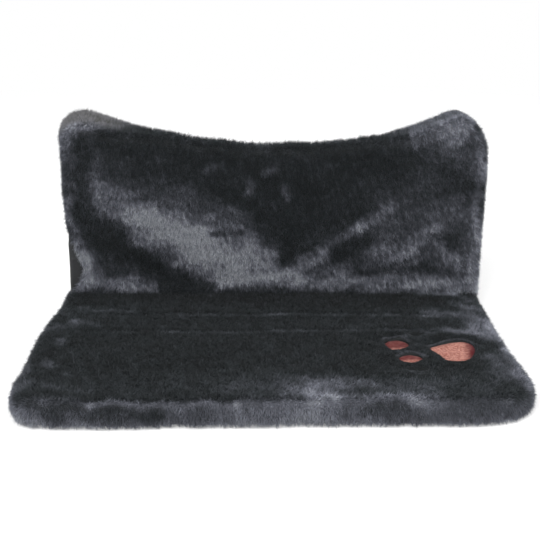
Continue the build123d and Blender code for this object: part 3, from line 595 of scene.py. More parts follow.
def pile(name, places, ways, length, width, shade, faded, rng):
    """Closed three-sided blades: a triangle about each root, and a point at its tip. The triangle
    lies square to the fibre's way. Each blade has its own small cell in the map."""
    count = len(places)
    side = unit(np.cross(ways, rng.normal(size=(count, 3))))
    other = np.cross(ways, side)
    root = places - ways * root_sink
    corners = [root + (math.cos(a) * side + math.sin(a) * other) * (width[:, None] / 2)
               for a in (0, 2 * math.pi / 3, 4 * math.pi / 3)]
    tip = places + ways * length[:, None]
    points = np.stack([*corners, tip], 1).reshape(-1, 3)
    points[:, 2] = np.maximum(points[:, 2], lowest_fibre)
    faces = np.array([(0, 1, 3), (1, 2, 3), (2, 0, 3), (0, 2, 1)])
    faces = (faces[None] + 4 * np.arange(count)[:, None, None]).reshape(-1, 3)
    made = make_mesh(name, points, faces)
    grain = np.repeat(rng.random(count), 4)
    set_pile(made, np.tile([0, 0, 0, 1.0], count), np.repeat(shade, 4), grain, np.repeat(faded, 4))
    cells = math.ceil(math.sqrt(count))
    cell = np.stack([np.arange(count) % cells, np.arange(count) // cells], -1)[:, None]
    corner = np.array([(0.2, 0.1), (0.8, 0.1), (0.5, 0.9), (0.8, 0.1), (0.2, 0.1), (0.5, 0.9),
                       (0.2, 0.1), (0.8, 0.1), (0.5, 0.9), (0.2, 0.1), (0.8, 0.1), (0.5, 0.2)])
    layer = made.data.uv_layers.new(name="OFBake")
    layer.data.foreach_set("uv", ((cell + corner) / cells).astype(np.float32).ravel())
    finish_piece(made, plush_strands)


fibres_per_mm2 = 1.5    # coarser than real plush, with wider fibres
piece_fibres = 45000    # about as many as a piece holds


def fibre_lengths(roots, usual, long_share, tufts, seed, rng):
    """Lengths in millimetres: some fibres are longer, and lengths vary smoothly in small tufts."""
    length = usual * (rng.uniform(0.8, 1.1, len(roots)) + 0.4 * (rng.random(len(roots)) < long_share))
    return length * (1 + tufts * waves(roots, 5, seed))


def lay_pile(name, roots, ways, length, shades, faded, rng):
    """A cloth's whole pile, in pieces from left to right."""
    wide = rng.uniform(0.5, 0.82, len(roots))
    pieces = math.ceil(len(roots) / piece_fibres)
    for k, span in enumerate(np.array_split(np.arange(len(roots)), pieces)):
        shade = np.clip(shades[span] + rng.normal(0, 0.06, len(span)), 0, 1)
        pile(f"{name}_{k + 1}", roots[span], ways[span], length[span], wide[span], shade, faded[span], rng)


def tone_and_painted_light(x, v, strokes, level, seed):
    """The pile's lightness, 0 to 1: a level for its own tone, plus a soft-edged band of painted sheen or
    painted shade along each stroke (ends, half width, strength), plus fine and coarse unevenness."""
    flat = np.stack([x, v, np.zeros_like(x)], -1)
    stray_x = 3.2 * waves(flat, 26, seed) + 1.3 * waves(flat, 8, seed + 1)
    stray_v = 3.2 * waves(flat, 26, seed + 2) + 1.3 * waves(flat, 8, seed + 3)
    total = level + 0.022 * waves(flat, 34, seed + 4) + 0.022 * waves(flat, 11, seed + 5)
    for x0, v0, x1, v1, half, strength in strokes:
        run = np.array([x1 - x0, v1 - v0], float)
        loose = min(1.0, half / 12)
        dx, dv = x + loose * stray_x - x0, v + loose * stray_v - v0
        share = np.clip((dx * run[0] + dv * run[1]) / max(run @ run, 1e-6), 0, 1)
        away = ((dx - share * run[0]) ** 2 + (dv - share * run[1]) ** 2) / half ** 2
        total = total + strength * np.exp(-away ** 1.4)
    return total


def shade_ground(made, upward, strokes, seed):
    """Paints the cloth under the pile with the same painted sheen and shade, in the pile's dark root tone as
    painted shade. Upward is the axis, 1 or 2, that the strokes' second number runs along."""
    points = np.empty(len(made.data.vertices) * 3, np.float32)
    made.data.vertices.foreach_get("co", points)
    points = points.reshape(-1, 3) * 1000 - (0, axis_y, 0)
    shade = tone_and_painted_light(points[:, 0], points[:, upward], strokes, 0.2, seed)
    set_pile(made, 0.15, np.clip(shade, 0, 1), 0.5, 0)


# Seat cover, top: plush over the seat tube and the foam, with two pressed creases across it and
# the paw's five windows cut in it. Its edge is turned under and sewn to the lining.
seat_line = [
    (-221, 8.5), (-221, -35), (-223.5, -75), (-226.5, -111), (-226.5, -149), (-225.5, -195), (-226, -228),
    (-225.5, -258), (-221.5, -280), (-209, -293), (-190, -298), (-160, -299.5), (-75, -297.5), (0, -295),
    (80, -294), (145, -293), (185, -291.5), (206, -287), (222, -274), (230.5, -257), (232.5, -240),
    (229.5, -208), (226.5, -162), (226, -116), (225, -67), (225, -8), (224.5, 8.5),
]
seat_rise = 3.6         # how far the tips stand above the cloth
seat_rim = 8.0          # radius of the seat's upper edge
seat_low_r = 5.4        # radius of its lower edge
seat_cloth_z = 22.8
seat_low_z = 6.6        # where the lower edge's bend starts
post_half = 216.0       # the back stands on the seat's rear up to here, to either side


def knot_share(knots, index):
    """How far along the line a knot, or a place between two knots, lies."""
    run = np.r_[0, np.cumsum(np.linalg.norm(np.diff(np.asarray(knots)[:, :2], axis=0), axis=1))]
    return np.interp(index, np.arange(len(run)), run / run[-1])


def drawn_in(line, depth):
    """A flat line moved to its left by a depth for each point."""
    way = np.gradient(line, axis=0)
    way /= np.linalg.norm(way, axis=1, keepdims=True)
    return line + np.stack([-way[:, 1], way[:, 0]], 1) * np.reshape(depth, (-1, 1))


def patch(left, far, right, near):
    """Fills four edges: the blend across, plus the blend along, less the blend of the corners.
    Left and right run from near to far, and near and far run from left to right."""
    s = np.linspace(0, 1, len(near))[:, None, None]
    t = np.linspace(0, 1, len(left))[None, :, None]
    corners = ((1 - s) * (1 - t) * near[0] + s * (1 - t) * near[-1]
               + (1 - s) * t * far[0] + s * t * far[-1])
    return ((1 - s) * left[None] + s * right[None] + (1 - t) * near[:, None] + t * far[:, None]) - corners


def hump(x, middle, half):
    """A smooth hump of height one that falls to about a third at its half width."""
    return np.exp(-((x - middle) / half) ** 2)


def smooth_step(x, middle, width):
    """A smooth rise from 0 to 1 about a middle, or a fall where the width is negative."""
    return 1 / (1 + np.exp((middle - x) / width))


def seat_top(x, y):
    """Height of the seat's cloth: a low crown, two creases with a small fold behind each, the
    bulge over the uprights' bends, folds that fan out from the toes, and slack."""
    flat = np.stack([x, y, np.zeros_like(x)], -1)
    z = seat_cloth_z + 1.0 * (1 - (x / 230) ** 2) * (1 - ((y + 140) / 160) ** 2)
    for place, deep, x0, x1 in ((-83, 0.6, -176, 168), (-131, 0.5, -176, 172)):
        line = place + 1.6 * np.sin(x / 47) + 0.9 * np.sin(x / 17 + 1)
        fade = smooth_step(x, x0, 9) * smooth_step(x, x1, -9)
        z = z + fade * (0.6 * hump(y, line + 7, 5) - deep * hump(y, line, 4.2) + 0.5 * hump(y, line - 7, 5))
    z = z + 2.6 * hump(np.abs(x), 206, 12) * hump(y, -10, 9)
    fan = np.hypot(x - 126, y + 176)
    turn = np.arctan2(y + 176, x - 126)
    near = hump(fan, 34, 13) * np.clip((y + 176) / 18, 0, 1)
    z = z + near * 0.9 * np.sin(9 * turn + 0.4)
    z = z + 0.3 * hump(from_window(x, y), 3.5, 3.5)
    return z + 0.55 * waves(flat, 95, 11) + 0.3 * waves(flat, 40, 12)


def edge_shares(line, first, last, side_steps, far_steps):
    """Shares along a traced line in three runs: to one knot, to another, and to its end. A knot
    of 8.5 is the place halfway between knots 8 and 9."""
    first, last = knot_share(line, first), knot_share(line, last)
    return np.r_[np.linspace(0, first, side_steps + 1), np.linspace(first, last, far_steps + 1)[1:],
                 np.linspace(last, 1, side_steps + 1)[1:]]


def face_within(edge, side_steps):
    """Fills a line of three runs and the straight line between its ends."""
    left, far, right = edge[:side_steps + 1], edge[side_steps:-side_steps], edge[::-1][:side_steps + 1]
    across = np.linspace(0, 1, len(far))[:, None]
    return patch(left, far, right, left[0] * (1 - across) + right[0] * across)


side_steps, front_steps = 120, 170
seat_shares = edge_shares(seat_line, 8.5, 18, side_steps, front_steps)
seat_edge = drawn_in(curve_through(seat_line, seat_shares), seat_rise)
inner = drawn_in(seat_edge, seat_rim)
seat_face = face_within(inner, side_steps)
seat_face = np.dstack([seat_face, seat_top(seat_face[..., 0], seat_face[..., 1])])
rim_top = seat_top(inner[:, 0], inner[:, 1])
rings = []
for turn in np.radians(np.linspace(0, 90, 8)):
    rings.append((seat_rim * (1 - math.sin(turn)), rim_top - seat_rim * (1 - math.cos(turn))))
for share in (0.3, 0.65, 1.0):
    rings.append((-0.7 * math.sin(math.pi * share), (rim_top - seat_rim) * (1 - share) + seat_low_z * share))
for turn in np.radians(np.linspace(18, 90, 5)):
    rings.append((seat_low_r * (1 - math.cos(turn)), seat_low_z - seat_low_r * math.sin(turn)))
rings.append((10.5, seat_low_z - seat_low_r))
seat_side = np.stack([np.column_stack([drawn_in(seat_edge, depth), np.broadcast_to(z, len(seat_edge))])
                      for depth, z in rings], 1)
puckers = waves(seat_side, 22, 21) * 0.35 + waves(seat_side, 60, 22) * 0.5
share_down = np.clip(np.arange(seat_side.shape[1]) / 8, 0, 1)
seat_side[..., 0] += puckers * share_down * np.sign(seat_side[..., 0]) * (np.abs(seat_side[..., 0]) > 200)
seat_side[..., 1] -= puckers * share_down * (np.abs(seat_side[..., 0]) <= 200)


def seat_kept(grid):
    """Where the seat's cloth is: outside the windows, and not under the back's foot."""
    middle = (grid[:-1, :-1] + grid[1:, :-1] + grid[1:, 1:] + grid[:-1, 1:]) / 4
    x, y = middle[..., 0], middle[..., 1]
    return ~((y > -13.5) & (np.abs(x) < post_half)) & (from_window(x, y) > 0.8)


seat_caps = []
for end, sign in ((0, -1), (-1, 1)):
    edge = seat_side[end]
    goal = edge.copy()
    goal[:, 0] = sign * np.minimum(np.abs(edge[:, 0]), post_half)
    c = np.linspace(0, 1, 6)[:, None, None]
    cap = edge * (1 - c) + goal * c
    cap[..., 1] += 1.2 * np.sin(math.pi * c[..., 0])
    seat_caps.append(cap[::-1] if sign > 0 else cap)
seat_grids = [seat_face, seat_side, *seat_caps]
seat_keeps = [seat_kept(g) for g in seat_grids[:2]] + [np.ones((5, seat_side.shape[1] - 1), bool)] * 2
seat_cloth = joined("seat_cover", seat_grids, seat_keeps, turned=True)
finish_piece(seat_cloth, plush_ground, "seat_cover_top", thickness=2.4)

# Painted sheen and painted shade on the seat's pile, placed after the photo. A positive strength paints a
# highlight, such as the lit line along the front rim and the light lines beside the creases. A negative one
# paints shade, such as the shadow under the back's hem. Each band has its two ends, its half width and its
# strength. The first table is seen from above, the second from the front.
seat_painted_bands = [
    (-88, -88, 16, -81, 2.2, 0.24), (16, -81, 173, -84, 2.2, 0.22), (-4, -86, 16, -81, 3, 0.2),
    (-107, -135, 173, -126, 2, 0.22), (-98, -135, -96, -135, 2.5, 0.2), (11, -129, 13, -129, 2.5, 0.2),
    (-181, -68, -139, -73, 5, 0.16), (-193, -102, -170, -118, 6, 0.22), (-209, -118, -190, -96, 8, 0.14),
    (-89, -92, -86, -96, 3, 0.26), (-200, -155, -195, -161, 5, 0.3), (-203, -207, -196, -219, 5, 0.26),
    (-182, -232, -177, -236, 5, 0.14), (-218, -214, -217, -265, 8, 0.2), (-196, -60, -150, -58, 13, 0.1),
    (-209, -288, -193, -288, 5, 0.2), (-190, -290, -150, -290, 4, 0.22), (-150, -291, -25, -291, 3, 0.48),
    (-25, -290, 40, -289, 4, 0.38), (14, -268, 48, -270, 13, 0.24), (36, -275, 46, -292, 12, 0.37),
    (54, -285, 134, -285, 8, 0.36), (39, -252, 88, -255, 10, 0.2), (-20, -262, 130, -268, 26, 0.12),
    (-190, -262, 190, -262, 26, 0.07), (130, -262, 200, -250, 24, 0.08), (112, -288, 148, -287, 6, 0.18),
    (216, -102, 227, -172, 8, 0.42), (224, -172, 223, -258, 8, 0.42), (210, -150, 213, -240, 10, 0.1),
    (182, -134, 199, -118, 8, 0.3), (157, -73, 202, -85, 9, 0.2), (190, -40, 208, -60, 8, 0.24),
    (164, -14, 196, -20, 7, 0.46), (196, -20, 210, -34, 7, 0.16), (212, -40, 219, -70, 7, 0.14),
    (176, -62, 212, -128, 19, 0.12), (206, -60, 214, -92, 8, 0.2), (171, -134, 149, -134, 4, 0.26),
    (119, -153, 137, -138, 3, 0.22), (174, -128, 201, -136, 7, 0.2), (200, -136, 217, -152, 9, 0.2),
    (199, -168, 200, -202, 7, 0.12), (188, -231, 203, -214, 8, 0.12), (119, -183, 131, -181, 2.2, 0.26),
    (141, -190, 144, -194, 3, 0.26), (127, -226, 134, -231, 3, 0.24), (150, -137, 141, -166, 6, 0.1),
    (100, -240, 190, -240, 10, -0.04), (-218, -258, -157, -271, 8, 0.08), (147, -288, 204, -286, 6, 0.24),
    (-201, -258, -182, -268, 6, 0.06), (204, -193, 206, -240, 10, 0.14), (203, -94, 210, -134, 9, 0.22),
    (-215, -40, -222, -130, 9, 0.08), (-200, -60, -205, -140, 14, 0.05), (-195, -36, 172, -36, 24, -0.1),
    (-170, -20, 150, -20, 12, -0.06),
]
seat_front_painted_bands = [
    (-212, 12, -150, 12, 22, 0.17), (-216, 12, -200, 14, 12, 0.12), (-187, 12, -181, 12, 12, -0.22),
    (-148, 12, -138, 12, 9, -0.17), (-104, 12, -98, 12, 11, -0.18), (98, 12, 118, 12, 15, -0.12),
    (10, 12, 80, 12, 40, 0.2), (130, 12, 215, 12, 22, 0.16), (-70, 12, -20, 12, 24, 0.1),
    (26, 19, 50, 19, 13, 0.2), (-215, 2, 215, 2, 6, 0.18), (60, 12, 200, 12, 14, -0.08),
]
rng = np.random.default_rng(41)
roots, outs, shades = [], [], []
for grid, keep, kind in zip(seat_grids, seat_keeps, ("top", "side", "cap", "cap")):
    places, out = scatter(grid, fibres_per_mm2, rng, True, keep)
    upper = out[:, 2] > -0.75
    places, out = places[upper], out[upper]
    shade = tone_and_painted_light(places[:, 0], places[:, 1], seat_painted_bands, 0.12, 51)
    shade = shade + 0.02 * waves(places, 3.6, 59) + 0.03 * waves(places, 8, 60)
    # The front face takes a much lighter level of painted sheen than the top.
    wall = np.clip(1 - out[:, 2], 0, 1) * (kind != "top")
    face = tone_and_painted_light(places[:, 0], places[:, 2], seat_front_painted_bands, 0.47, 57)
    face = face + 0.03 * waves(places * (1, 1, 0.5), 7, 58)
    roots.append(places)
    outs.append(out)
    shades.append(shade * (1 - wall) + face * wall)
roots, outs, shades = np.concatenate(roots), np.concatenate(outs), np.concatenate(shades)
clear = from_window(roots[:, 0], roots[:, 1])
order = np.argsort(roots[:, 0])
roots, outs, shades, clear = roots[order], outs[order], shades[order], clear[order]
lean = 38 + 2.5 * waves(roots, 24, 31) + 4 * (1 - outs[:, 2])
ways = lean_ways(roots, outs, lean, rng, clump=0.22, size=8.0, seed=5)
long = fibre_lengths(roots, 4.9, 0.1, 0.11, 32, rng) * np.clip(0.36 + clear / 20, 0.36, 1)
lay_pile("seat_pile", roots, ways, long, shades, np.zeros(len(roots)), rng)
shade_ground(seat_cloth, 1, seat_painted_bands, 51)

# Window edges: the plush is turned in round each window, so its rim is rolled and stands a little
# above the seat, with a dark wall down to the suede.
lip_profile = [(4.6, -0.5), (3.4, 0.6), (1.8, 1.1), (0.4, 0.8), (-0.5, 0.0), (-0.9, -1.4), (-0.9, -3.0)]
lip_foot = [(-0.5, 18.5), (2.6, 18.5), (3.6, 19.6)]
lip_places, lip_outs = [], []
for name, (middle, radius) in windows.items():
    way = np.column_stack([np.cos(window_step), np.sin(window_step)])
    edge = middle + way * radius[:, None]
    level = seat_top(edge[:, 0] + 3 * way[:, 0], edge[:, 1] + 3 * way[:, 1])
    lip_drop = 1.0 if name in ("toe_3", "toe_4") else 0.7
    ring = [np.column_stack([edge + way * out, level + up - lip_drop]) for out, up in lip_profile]
    ring += [np.column_stack([edge + way * out, np.minimum(up, level - 3.2)]) for out, up in lip_foot]
    ring = np.stack(ring, 1)
    lip = joined(f"paw_edge_{name}", [ring], around=(True, True), turned=True)
    finish_piece(lip, plush_ground)
    # The lip's cloth takes the pile's dark root tone: painted shade down the window's wall.
    set_pile(lip, 0.1, np.full(len(lip.data.vertices), 0.2), 0.5, 0)
    closed = np.concatenate([ring, ring[:1]])[:, :5]
    places, out = scatter(closed, 2.6, rng, True)
    lip_places.append(places)
    lip_outs.append(out)
places, out = np.concatenate(lip_places), np.concatenate(lip_outs)
clear = from_window(places[:, 0], places[:, 1])
away = unit(np.stack([from_window(places[:, 0] + 0.5, places[:, 1]) - clear,
                      from_window(places[:, 0], places[:, 1] + 0.5) - clear, 0 * clear], -1))
opened = (places[:, 1] > open_near_y) & (places[:, 1] < open_far_y + 0.5)
near_side = np.clip(-away[:, 1] * 2, 0, 1) * opened
ways = unit(out * 0.75 + away * (0.35 - 1.1 * near_side[:, None]) + rng.normal(0, 0.18, out.shape))
lit_rim = 0.42 * np.clip(away[:, 1] * 2, 0, 1) * opened * hump(clear, 1.0, 1.5)
lit_rim = 0.15 + 0.02 * waves(places, 6, 83) + lit_rim
long = rng.uniform(1.5, 2.3, len(places)) * (1 + near_side * (0.5 + 0.35 * waves(places, 4, 84)))
wide = rng.uniform(0.5, 0.75, len(places))
shade = np.clip(lit_rim + rng.normal(0, 0.05, len(places)), 0, 1)
pile("paw_edge_pile", places, ways, long, wide, shade, 0 * clear, rng)

# Back cover, front: plush stretched over the uprights and the arms. Its top edge sags between two
# ears, which run back over the arms, and its foot is sewn to the seat along a straight hem.
back_line = [
    (-214.6, 27.5, -9.2), (-209.6, 35, -9.2), (-202.6, 44.5, -9.2), (-203.2, 54, -9.2), (-207.6, 66, -9.2),
    (-212.2, 79, -9.2), (-215.5, 90, -1), (-218, 108, 6.5), (-219.2, 130, 7), (-219.5, 160, 7),
    (-219.6, 184, 7), (-219.4, 188, 54), (-218.6, 195.5, 54), (-216.2, 202, 54), (-211.8, 207.2, 54),
    (-205.5, 210.9, 54), (-197, 212.9, 54), (-188.5, 212.5, 54), (-173, 207.6, 50), (-156, 203.6, 38),
    (-134, 200.3, 22), (-101, 196.3, 10), (-69, 192.1, 7), (-33, 187.8, 7), (0, 185.3, 7), (34, 185.8, 7),
    (79, 189.8, 7), (102, 192.2, 8), (123, 194.8, 14), (152, 198.9, 32), (165, 201.4, 42), (178, 204.6, 52),
    (185, 207.6, 54), (191, 209.6, 54), (197, 210.8, 54), (203.5, 210.2, 54), (209.6, 206.6, 54),
    (216.4, 199.8, 54), (222.8, 190.6, 54), (226.3, 184, 7), (228.0, 172, 7), (228.6, 152, 7),
    (228, 125, 7), (227, 90, 6), (226.4, 60, 5), (226.0, 22.0, 5),
]
back_rise = 3.6
back_cloth_y = -12.6
height_steps, width_steps = 84, 190
back_shares = edge_shares(back_line, 13.0, 36.3, height_steps, width_steps)
traced = curve_through([k[:2] for k in back_line], back_shares)
knot_at = [knot_share(back_line, i) for i in range(len(back_line))]
back_depth = np.interp(back_shares, knot_at, [k[2] for k in back_line])
back_edge = drawn_in(traced, -back_rise)
back_rim = np.clip((back_depth - back_cloth_y) * 0.45, 2.6, 10.5)


def back_front(x, z):
    """How far forward the back's cloth stands: flat between the uprights, with long slack folds
    that run from the left ear down to the middle of the hem."""
    flat = np.stack([x, np.zeros_like(x), z], -1)
    down = (x + 150) * 0.52 + (z - 130) * 0.86
    fold = (1.5 * hump(down, 0, 20) - 1.0 * hump(down, -42, 22)) * hump(x, -60, 120)
    other = (x - 30) * -0.62 + (z - 54) * 0.78
    fold = fold + 0.9 * hump(other, 0, 13) * hump(x, 80, 60)
    foot = 1.6 * hump(z, 27, 9)
    return back_cloth_y - fold - foot + 0.5 * waves(flat, 90, 61) + 0.25 * waves(flat, 30, 62)


def ear_lift(x, y):
    """The right ear stands higher at its front than at its rear end, and the left ear lower."""
    right_ear = smooth_step(x, 153, 8)
    left_ear = smooth_step(x, -150, -9)
    return (7.0 * right_ear - 5.5 * left_ear) * np.clip((54 - y) / 70, 0, 1)


def ear_flare(x, y, z):
    """The left ear widens towards its rear end, above the lining."""
    return -9.0 * np.clip((y + 4) / 58, 0, 1) * np.clip((z - 172) / 20, 0, 1) * np.clip((-x - 165) / 40, 0, 1)


inner = drawn_in(back_edge, -back_rim)
face = face_within(inner, height_steps)
front = back_front(face[..., 0], face[..., 1])
rise = np.clip((face[..., 1] - 150) / 45, 0, 1) ** 2
back_face = np.dstack([face[..., 0], front, face[..., 1] + ear_lift(face[..., 0], front) * rise])
rim_front = back_front(inner[:, 0], inner[:, 1])
rings = []
for turn in np.radians(np.linspace(0, 90, 8)):
    rings.append((back_rim * (1 - math.sin(turn)), rim_front + back_rim * (1 - math.cos(turn))))
behind = np.maximum(back_depth - 2.0, rim_front + back_rim)
for share in np.linspace(0.125, 1, 8):
    rings.append((-0.5 * math.sin(math.pi * share) * (back_rim > 5),
                  (rim_front + back_rim) * (1 - share) + behind * share))
rings += [(0.8, behind + 0.13 * back_rim), (2.4, behind + 0.2 * back_rim),
          (0.72 * back_rim + 0.8, behind + 0.19 * back_rim)]
back_side = []
for depth, y in rings:
    line = drawn_in(back_edge, -depth)
    rise = np.clip((line[:, 1] - 150) / 45, 0, 1) ** 2
    flare = ear_flare(line[:, 0], y, line[:, 1])
    back_side.append(np.column_stack([line[:, 0] + flare, y, line[:, 1] + ear_lift(line[:, 0], y) * rise]))
back_side = np.stack(back_side, 1)
lumps = waves(back_side, 30, 64) * 0.5 + waves(back_side, 75, 65) * 0.6
back_side[..., 2] += lumps * np.clip(np.arange(back_side.shape[1]) / 7, 0, 1) * (back_side[..., 2] > 175)
back_grids = [back_face, back_side]
back_cloth = joined("back_cover", back_grids)
finish_piece(back_cloth, plush_ground, "back_cover_front", thickness=2.0)

# Painted sheen and painted shade on the back's pile, the same way, seen from the front: across and up.
back_painted_bands = [
    (-173, 132, -126, 103, 18, 0.36), (-132, 106, -85, 79, 22, 0.44), (-90, 84, -48, 62, 25, 0.42),
    (-56, 67, -5, 48, 22, 0.36), (-16, 73, 6, 51, 12, 0.2), (-177, 147, -181, 173, 10, 0.12),
    (-61, 90, -33, 92, 4, -0.3), (-150, 146, -95, 122, 22, 0.1), (-95, 124, -40, 92, 24, 0.16),
    (-52, 106, -12, 76, 17, 0.16), (-51, 40, 32, 40, 9, 0.36), (33, 38, 113, 37, 10, 0.38),
    (128, 38, 218, 28, 9, 0.34), (-208, 35, -126, 34, 9, 0.46), (-199, 64, -190, 45, 9, 0.26),
    (-198, 62, -150, 44, 14, 0.12), (22, 51, 54, 69, 8, 0.3), (38, 59, 86, 48, 10, 0.2),
    (56, 73, 95, 101, 7, 0.22), (95, 101, 124, 120, 8, 0.26), (125, 95, 201, 95, 25, 0.17),
    (112, 68, 139, 68, 14, 0.24), (152, 79, 172, 101, 8, 0.24), (186, 72, 194, 64, 8, 0.2),
    (150, 62, 192, 60, 15, 0.14), (150, 40, 216, 46, 9, 0.16), (202, 60, 214, 60, 8, 0.1),
    (95, 62, 205, 62, 44, 0.1), (120, 128, 200, 118, 26, 0.07), (160, 36, 205, 34, 11, 0.14),
    (216, 132, 220, 30, 8, 0.32), (152, 57, 166, 57, 9, -0.16), (191, 87, 196, 82, 7, -0.16),
    (176, 52, 190, 50, 6, -0.1), (150, 204, 200, 201, 13, 0.26), (176, 212, 204, 206, 9, 0.26),
    (215, 194, 222, 147, 6, 0.3), (186, 181, 208, 165, 16, 0.18), (152, 194, 186, 193, 12, 0.16),
    (160, 180, 200, 180, 10, 0.08), (162, 150, 182, 128, 18, 0.1), (-210, 196, -212, 130, 10, 0.18),
    (-202, 206, -189, 207, 7, 0.24), (-213, 122, -206, 74, 8, 0.28), (-206, 74, -196, 44, 9, 0.32),
    (-206, 202, -166, 204, 9, 0.3), (-214, 200, -212, 180, 7, 0.14), (-184, 199, -178, 128, 8, 0.09),
    (-196, 60, -196, 150, 12, 0.08), (-67, 160, -49, 163, 6, 0.18), (-5, 159, 7, 163, 4, 0.24),
    (-23, 147, -23, 139, 5, 0.24), (15, 144, 16, 133, 5, 0.24), (-68, 114, -60, 114, 5, 0.22),
    (-37, 117, -23, 112, 7, 0.12), (60, 167, 70, 165, 4, 0.1), (75, 76, 101, 84, 11, -0.12),
    (-167, 73, -107, 45, 16, -0.04), (-196, 128, -195, 109, 8, -0.1), (-26, 186, -7, 184, 6, 0.08),
]
rng = np.random.default_rng(43)
roots, outs = (np.concatenate(part) for part in zip(*[scatter(g, fibres_per_mm2, rng) for g in back_grids]))
outer = (outs[:, 1] < 0.75) & (outs[:, 2] > -0.5) | (roots[:, 1] > 20)
roots, outs = roots[outer], outs[outer]
order = np.argsort(roots[:, 0])
roots, outs = roots[order], outs[order]
shades = tone_and_painted_light(roots[:, 0], roots[:, 2], back_painted_bands, 0.24, 71)
shades = shades * (1 + 0.10 * waves(roots, 3.4, 79) + 0.10 * waves(roots, 8, 78))
# Painted light on the tops of the ears and the sagging top: lighter on both ears, darker in the sag between.
roof = np.clip((roots[:, 1] + 4) / 14, 0, 1) * np.clip(outs[:, 2] * 1.6, 0, 1)
on_left = smooth_step(roots[:, 0], -156, -7)
on_right = smooth_step(roots[:, 0], 138, 7)
on_roof = 0.2 + 0.33 * on_left + 0.24 * on_right + 0.07 * waves(roots, 12, 74) + 0.05 * waves(roots, 4, 75)
shades = shades * (1 - roof) + roof * on_roof
browned = roof * on_left * 0.4 + 0.12 * on_left * np.clip((roots[:, 2] - 196) / 10, 0, 1)
on_rim = np.clip((roots[:, 1] + 6) / 14, 0, 1)
lean = 37 - 16 * on_rim + 4 * waves(roots, 18, 33)
ways = lean_ways(roots, outs, lean, rng, clump=0.28, size=6.0, seed=15)
long = fibre_lengths(roots, 4.8, 0.12, 0.13, 34, rng)
lay_pile("back_pile", roots, ways, long, shades, np.clip(browned, 0, 1), rng)
shade_ground(back_cloth, 2, back_painted_bands, 71)

# Ear linings: woven black polyester under each ear, up its inner side and across its rear end, where
# the arm comes out. Sewn to the plush along the top.
ear_floor, ear_low_y, ear_end_y, ear_out_x = 186.95, 10.1, 55.4, 220.0
ear_in_x, ear_taper = 150.8, 27 / 56        # the ear's inner side, which runs outward to the rear
sag_z = 898.7                               # height of the centre of the sagging top's arcs
arm_hole, arm_hole_r = np.array([206.0, ear_end_y, 196.0]), 8.7
opened_out = np.array([(1, 0, 0), (0, 1, 0), (0, 1, 0)])    # on the flat cloth, y and z both run along


def lining_top(x):
    """Height of the lining's upper edge: the arc of the sagging top, then the ear's own arc."""
    sag = sag_z - np.sqrt(723.2 ** 2 - np.clip(x, 0, 230) ** 2)
    ear = 188.0 + np.sqrt(np.clip(16.2 ** 2 - (x - 204.0) ** 2, 0, None))
    return np.where(x < 199.5, sag, ear)


for hand, side in (("left", -1), ("right", 1)):
    y = np.linspace(ear_low_y, ear_end_y, 24)[:, None]
    inner_x = ear_in_x + ear_taper * y
    t = np.linspace(0, 1, 22)[None]
    under = np.dstack([ear_out_x * (1 - t) + inner_x * t, y + 0 * t,
                       ear_floor - 0.5 * np.sin(math.pi * t)
                       * np.sin(math.pi * (y - ear_low_y) / (ear_end_y - ear_low_y))])
    t = np.linspace(0, 1, 8)[None, 1:]
    rise = np.dstack([inner_x - 0.6 * np.sin(math.pi * t), y + 0 * t,
                      ear_floor * (1 - t) + lining_top(inner_x) * t])
    band = np.concatenate([under, rise], 1)
    top_x = np.linspace(band[-1, -1, 0], ear_out_x, 26)[1:]
    top_z = np.maximum(lining_top(top_x), ear_floor + 0.8)
    arch = np.column_stack([top_x, np.full(len(top_x), ear_end_y), top_z])
    edge = np.concatenate([band[-1], arch, band[-1, :1]])
    reach = np.linalg.norm(edge - arm_hole, axis=1, keepdims=True)
    hole = arm_hole + (edge - arm_hole) / reach * np.minimum(arm_hole_r, reach - 0.3)
    t = np.linspace(0, 1, 7)[:, None, None]
    end_wall = edge * (1 - t) + hole * t
    end_wall[..., 1] += 0.7 * np.sin(math.pi * t[..., 0])
    for grid in (band, end_wall):
        grid[..., 0] *= side
    points = np.concatenate([band.reshape(-1, 3), end_wall.reshape(-1, 3)])
    lining = joined(f"{hand}_ear_cloth", [band, end_wall], turned=side < 0, cloth=points @ opened_out)
    finish_piece(lining, black_lining, f"{hand}_ear_lining", thickness=0.9, offset=0.0)

# Side gussets: a strip of the lining over each upright's foot, where the plush stops short of the
# seat. The left one shows from the front as a dark sliver.
gusset_low, gusset_width = 2.2, 0.0374
for hand, side, top_z in (("left", -1, 112.0), ("right", 1, 84.0)):
    turn = np.radians(np.linspace(0, 90, 7))
    plan = np.concatenate([np.column_stack([np.linspace(193.5, 210.5, 14), np.full(14, -9.8)]),
                           np.column_stack([211.0 + 3.8 * np.sin(turn), -6.0 - 3.8 * np.cos(turn)]),
                           np.column_stack([np.full(12, 214.8), np.linspace(-5.4, 8.3, 12)])])
    strip = np.stack([np.column_stack([plan, np.full(len(plan), z)])
                      for z in np.linspace(gusset_low, top_z, 70)])
    if hand == "left":
        under = np.interp(strip[..., 2], (27, 34, 42, 50, 62, 76, 90, 108, 130),
                          (205, 200, 196, 196, 198, 204, 209.5, 212, 213))
        plush_end = np.interp(strip[..., 2], (76, 90, 108), (-9.2, -1, 6.5))
        tucked = np.clip((plush_end + 2.5 - strip[..., 1]) / 4, 0, 1) ** 2 * (strip[..., 2] > 62)
        strip[..., 0] -= np.clip(strip[..., 0] - under, 0, None) * tucked
    strip[..., :2] += 0.16 * np.dstack([waves(strip, 24, 91 + side), waves(strip, 24, 95 + side)])
    strip[..., 0] *= side
    cloth_panel(f"{hand}_gusset_strip", strip[:, ::-side], black_lining, f"{hand}_side_gusset",
                thickness=0.8)

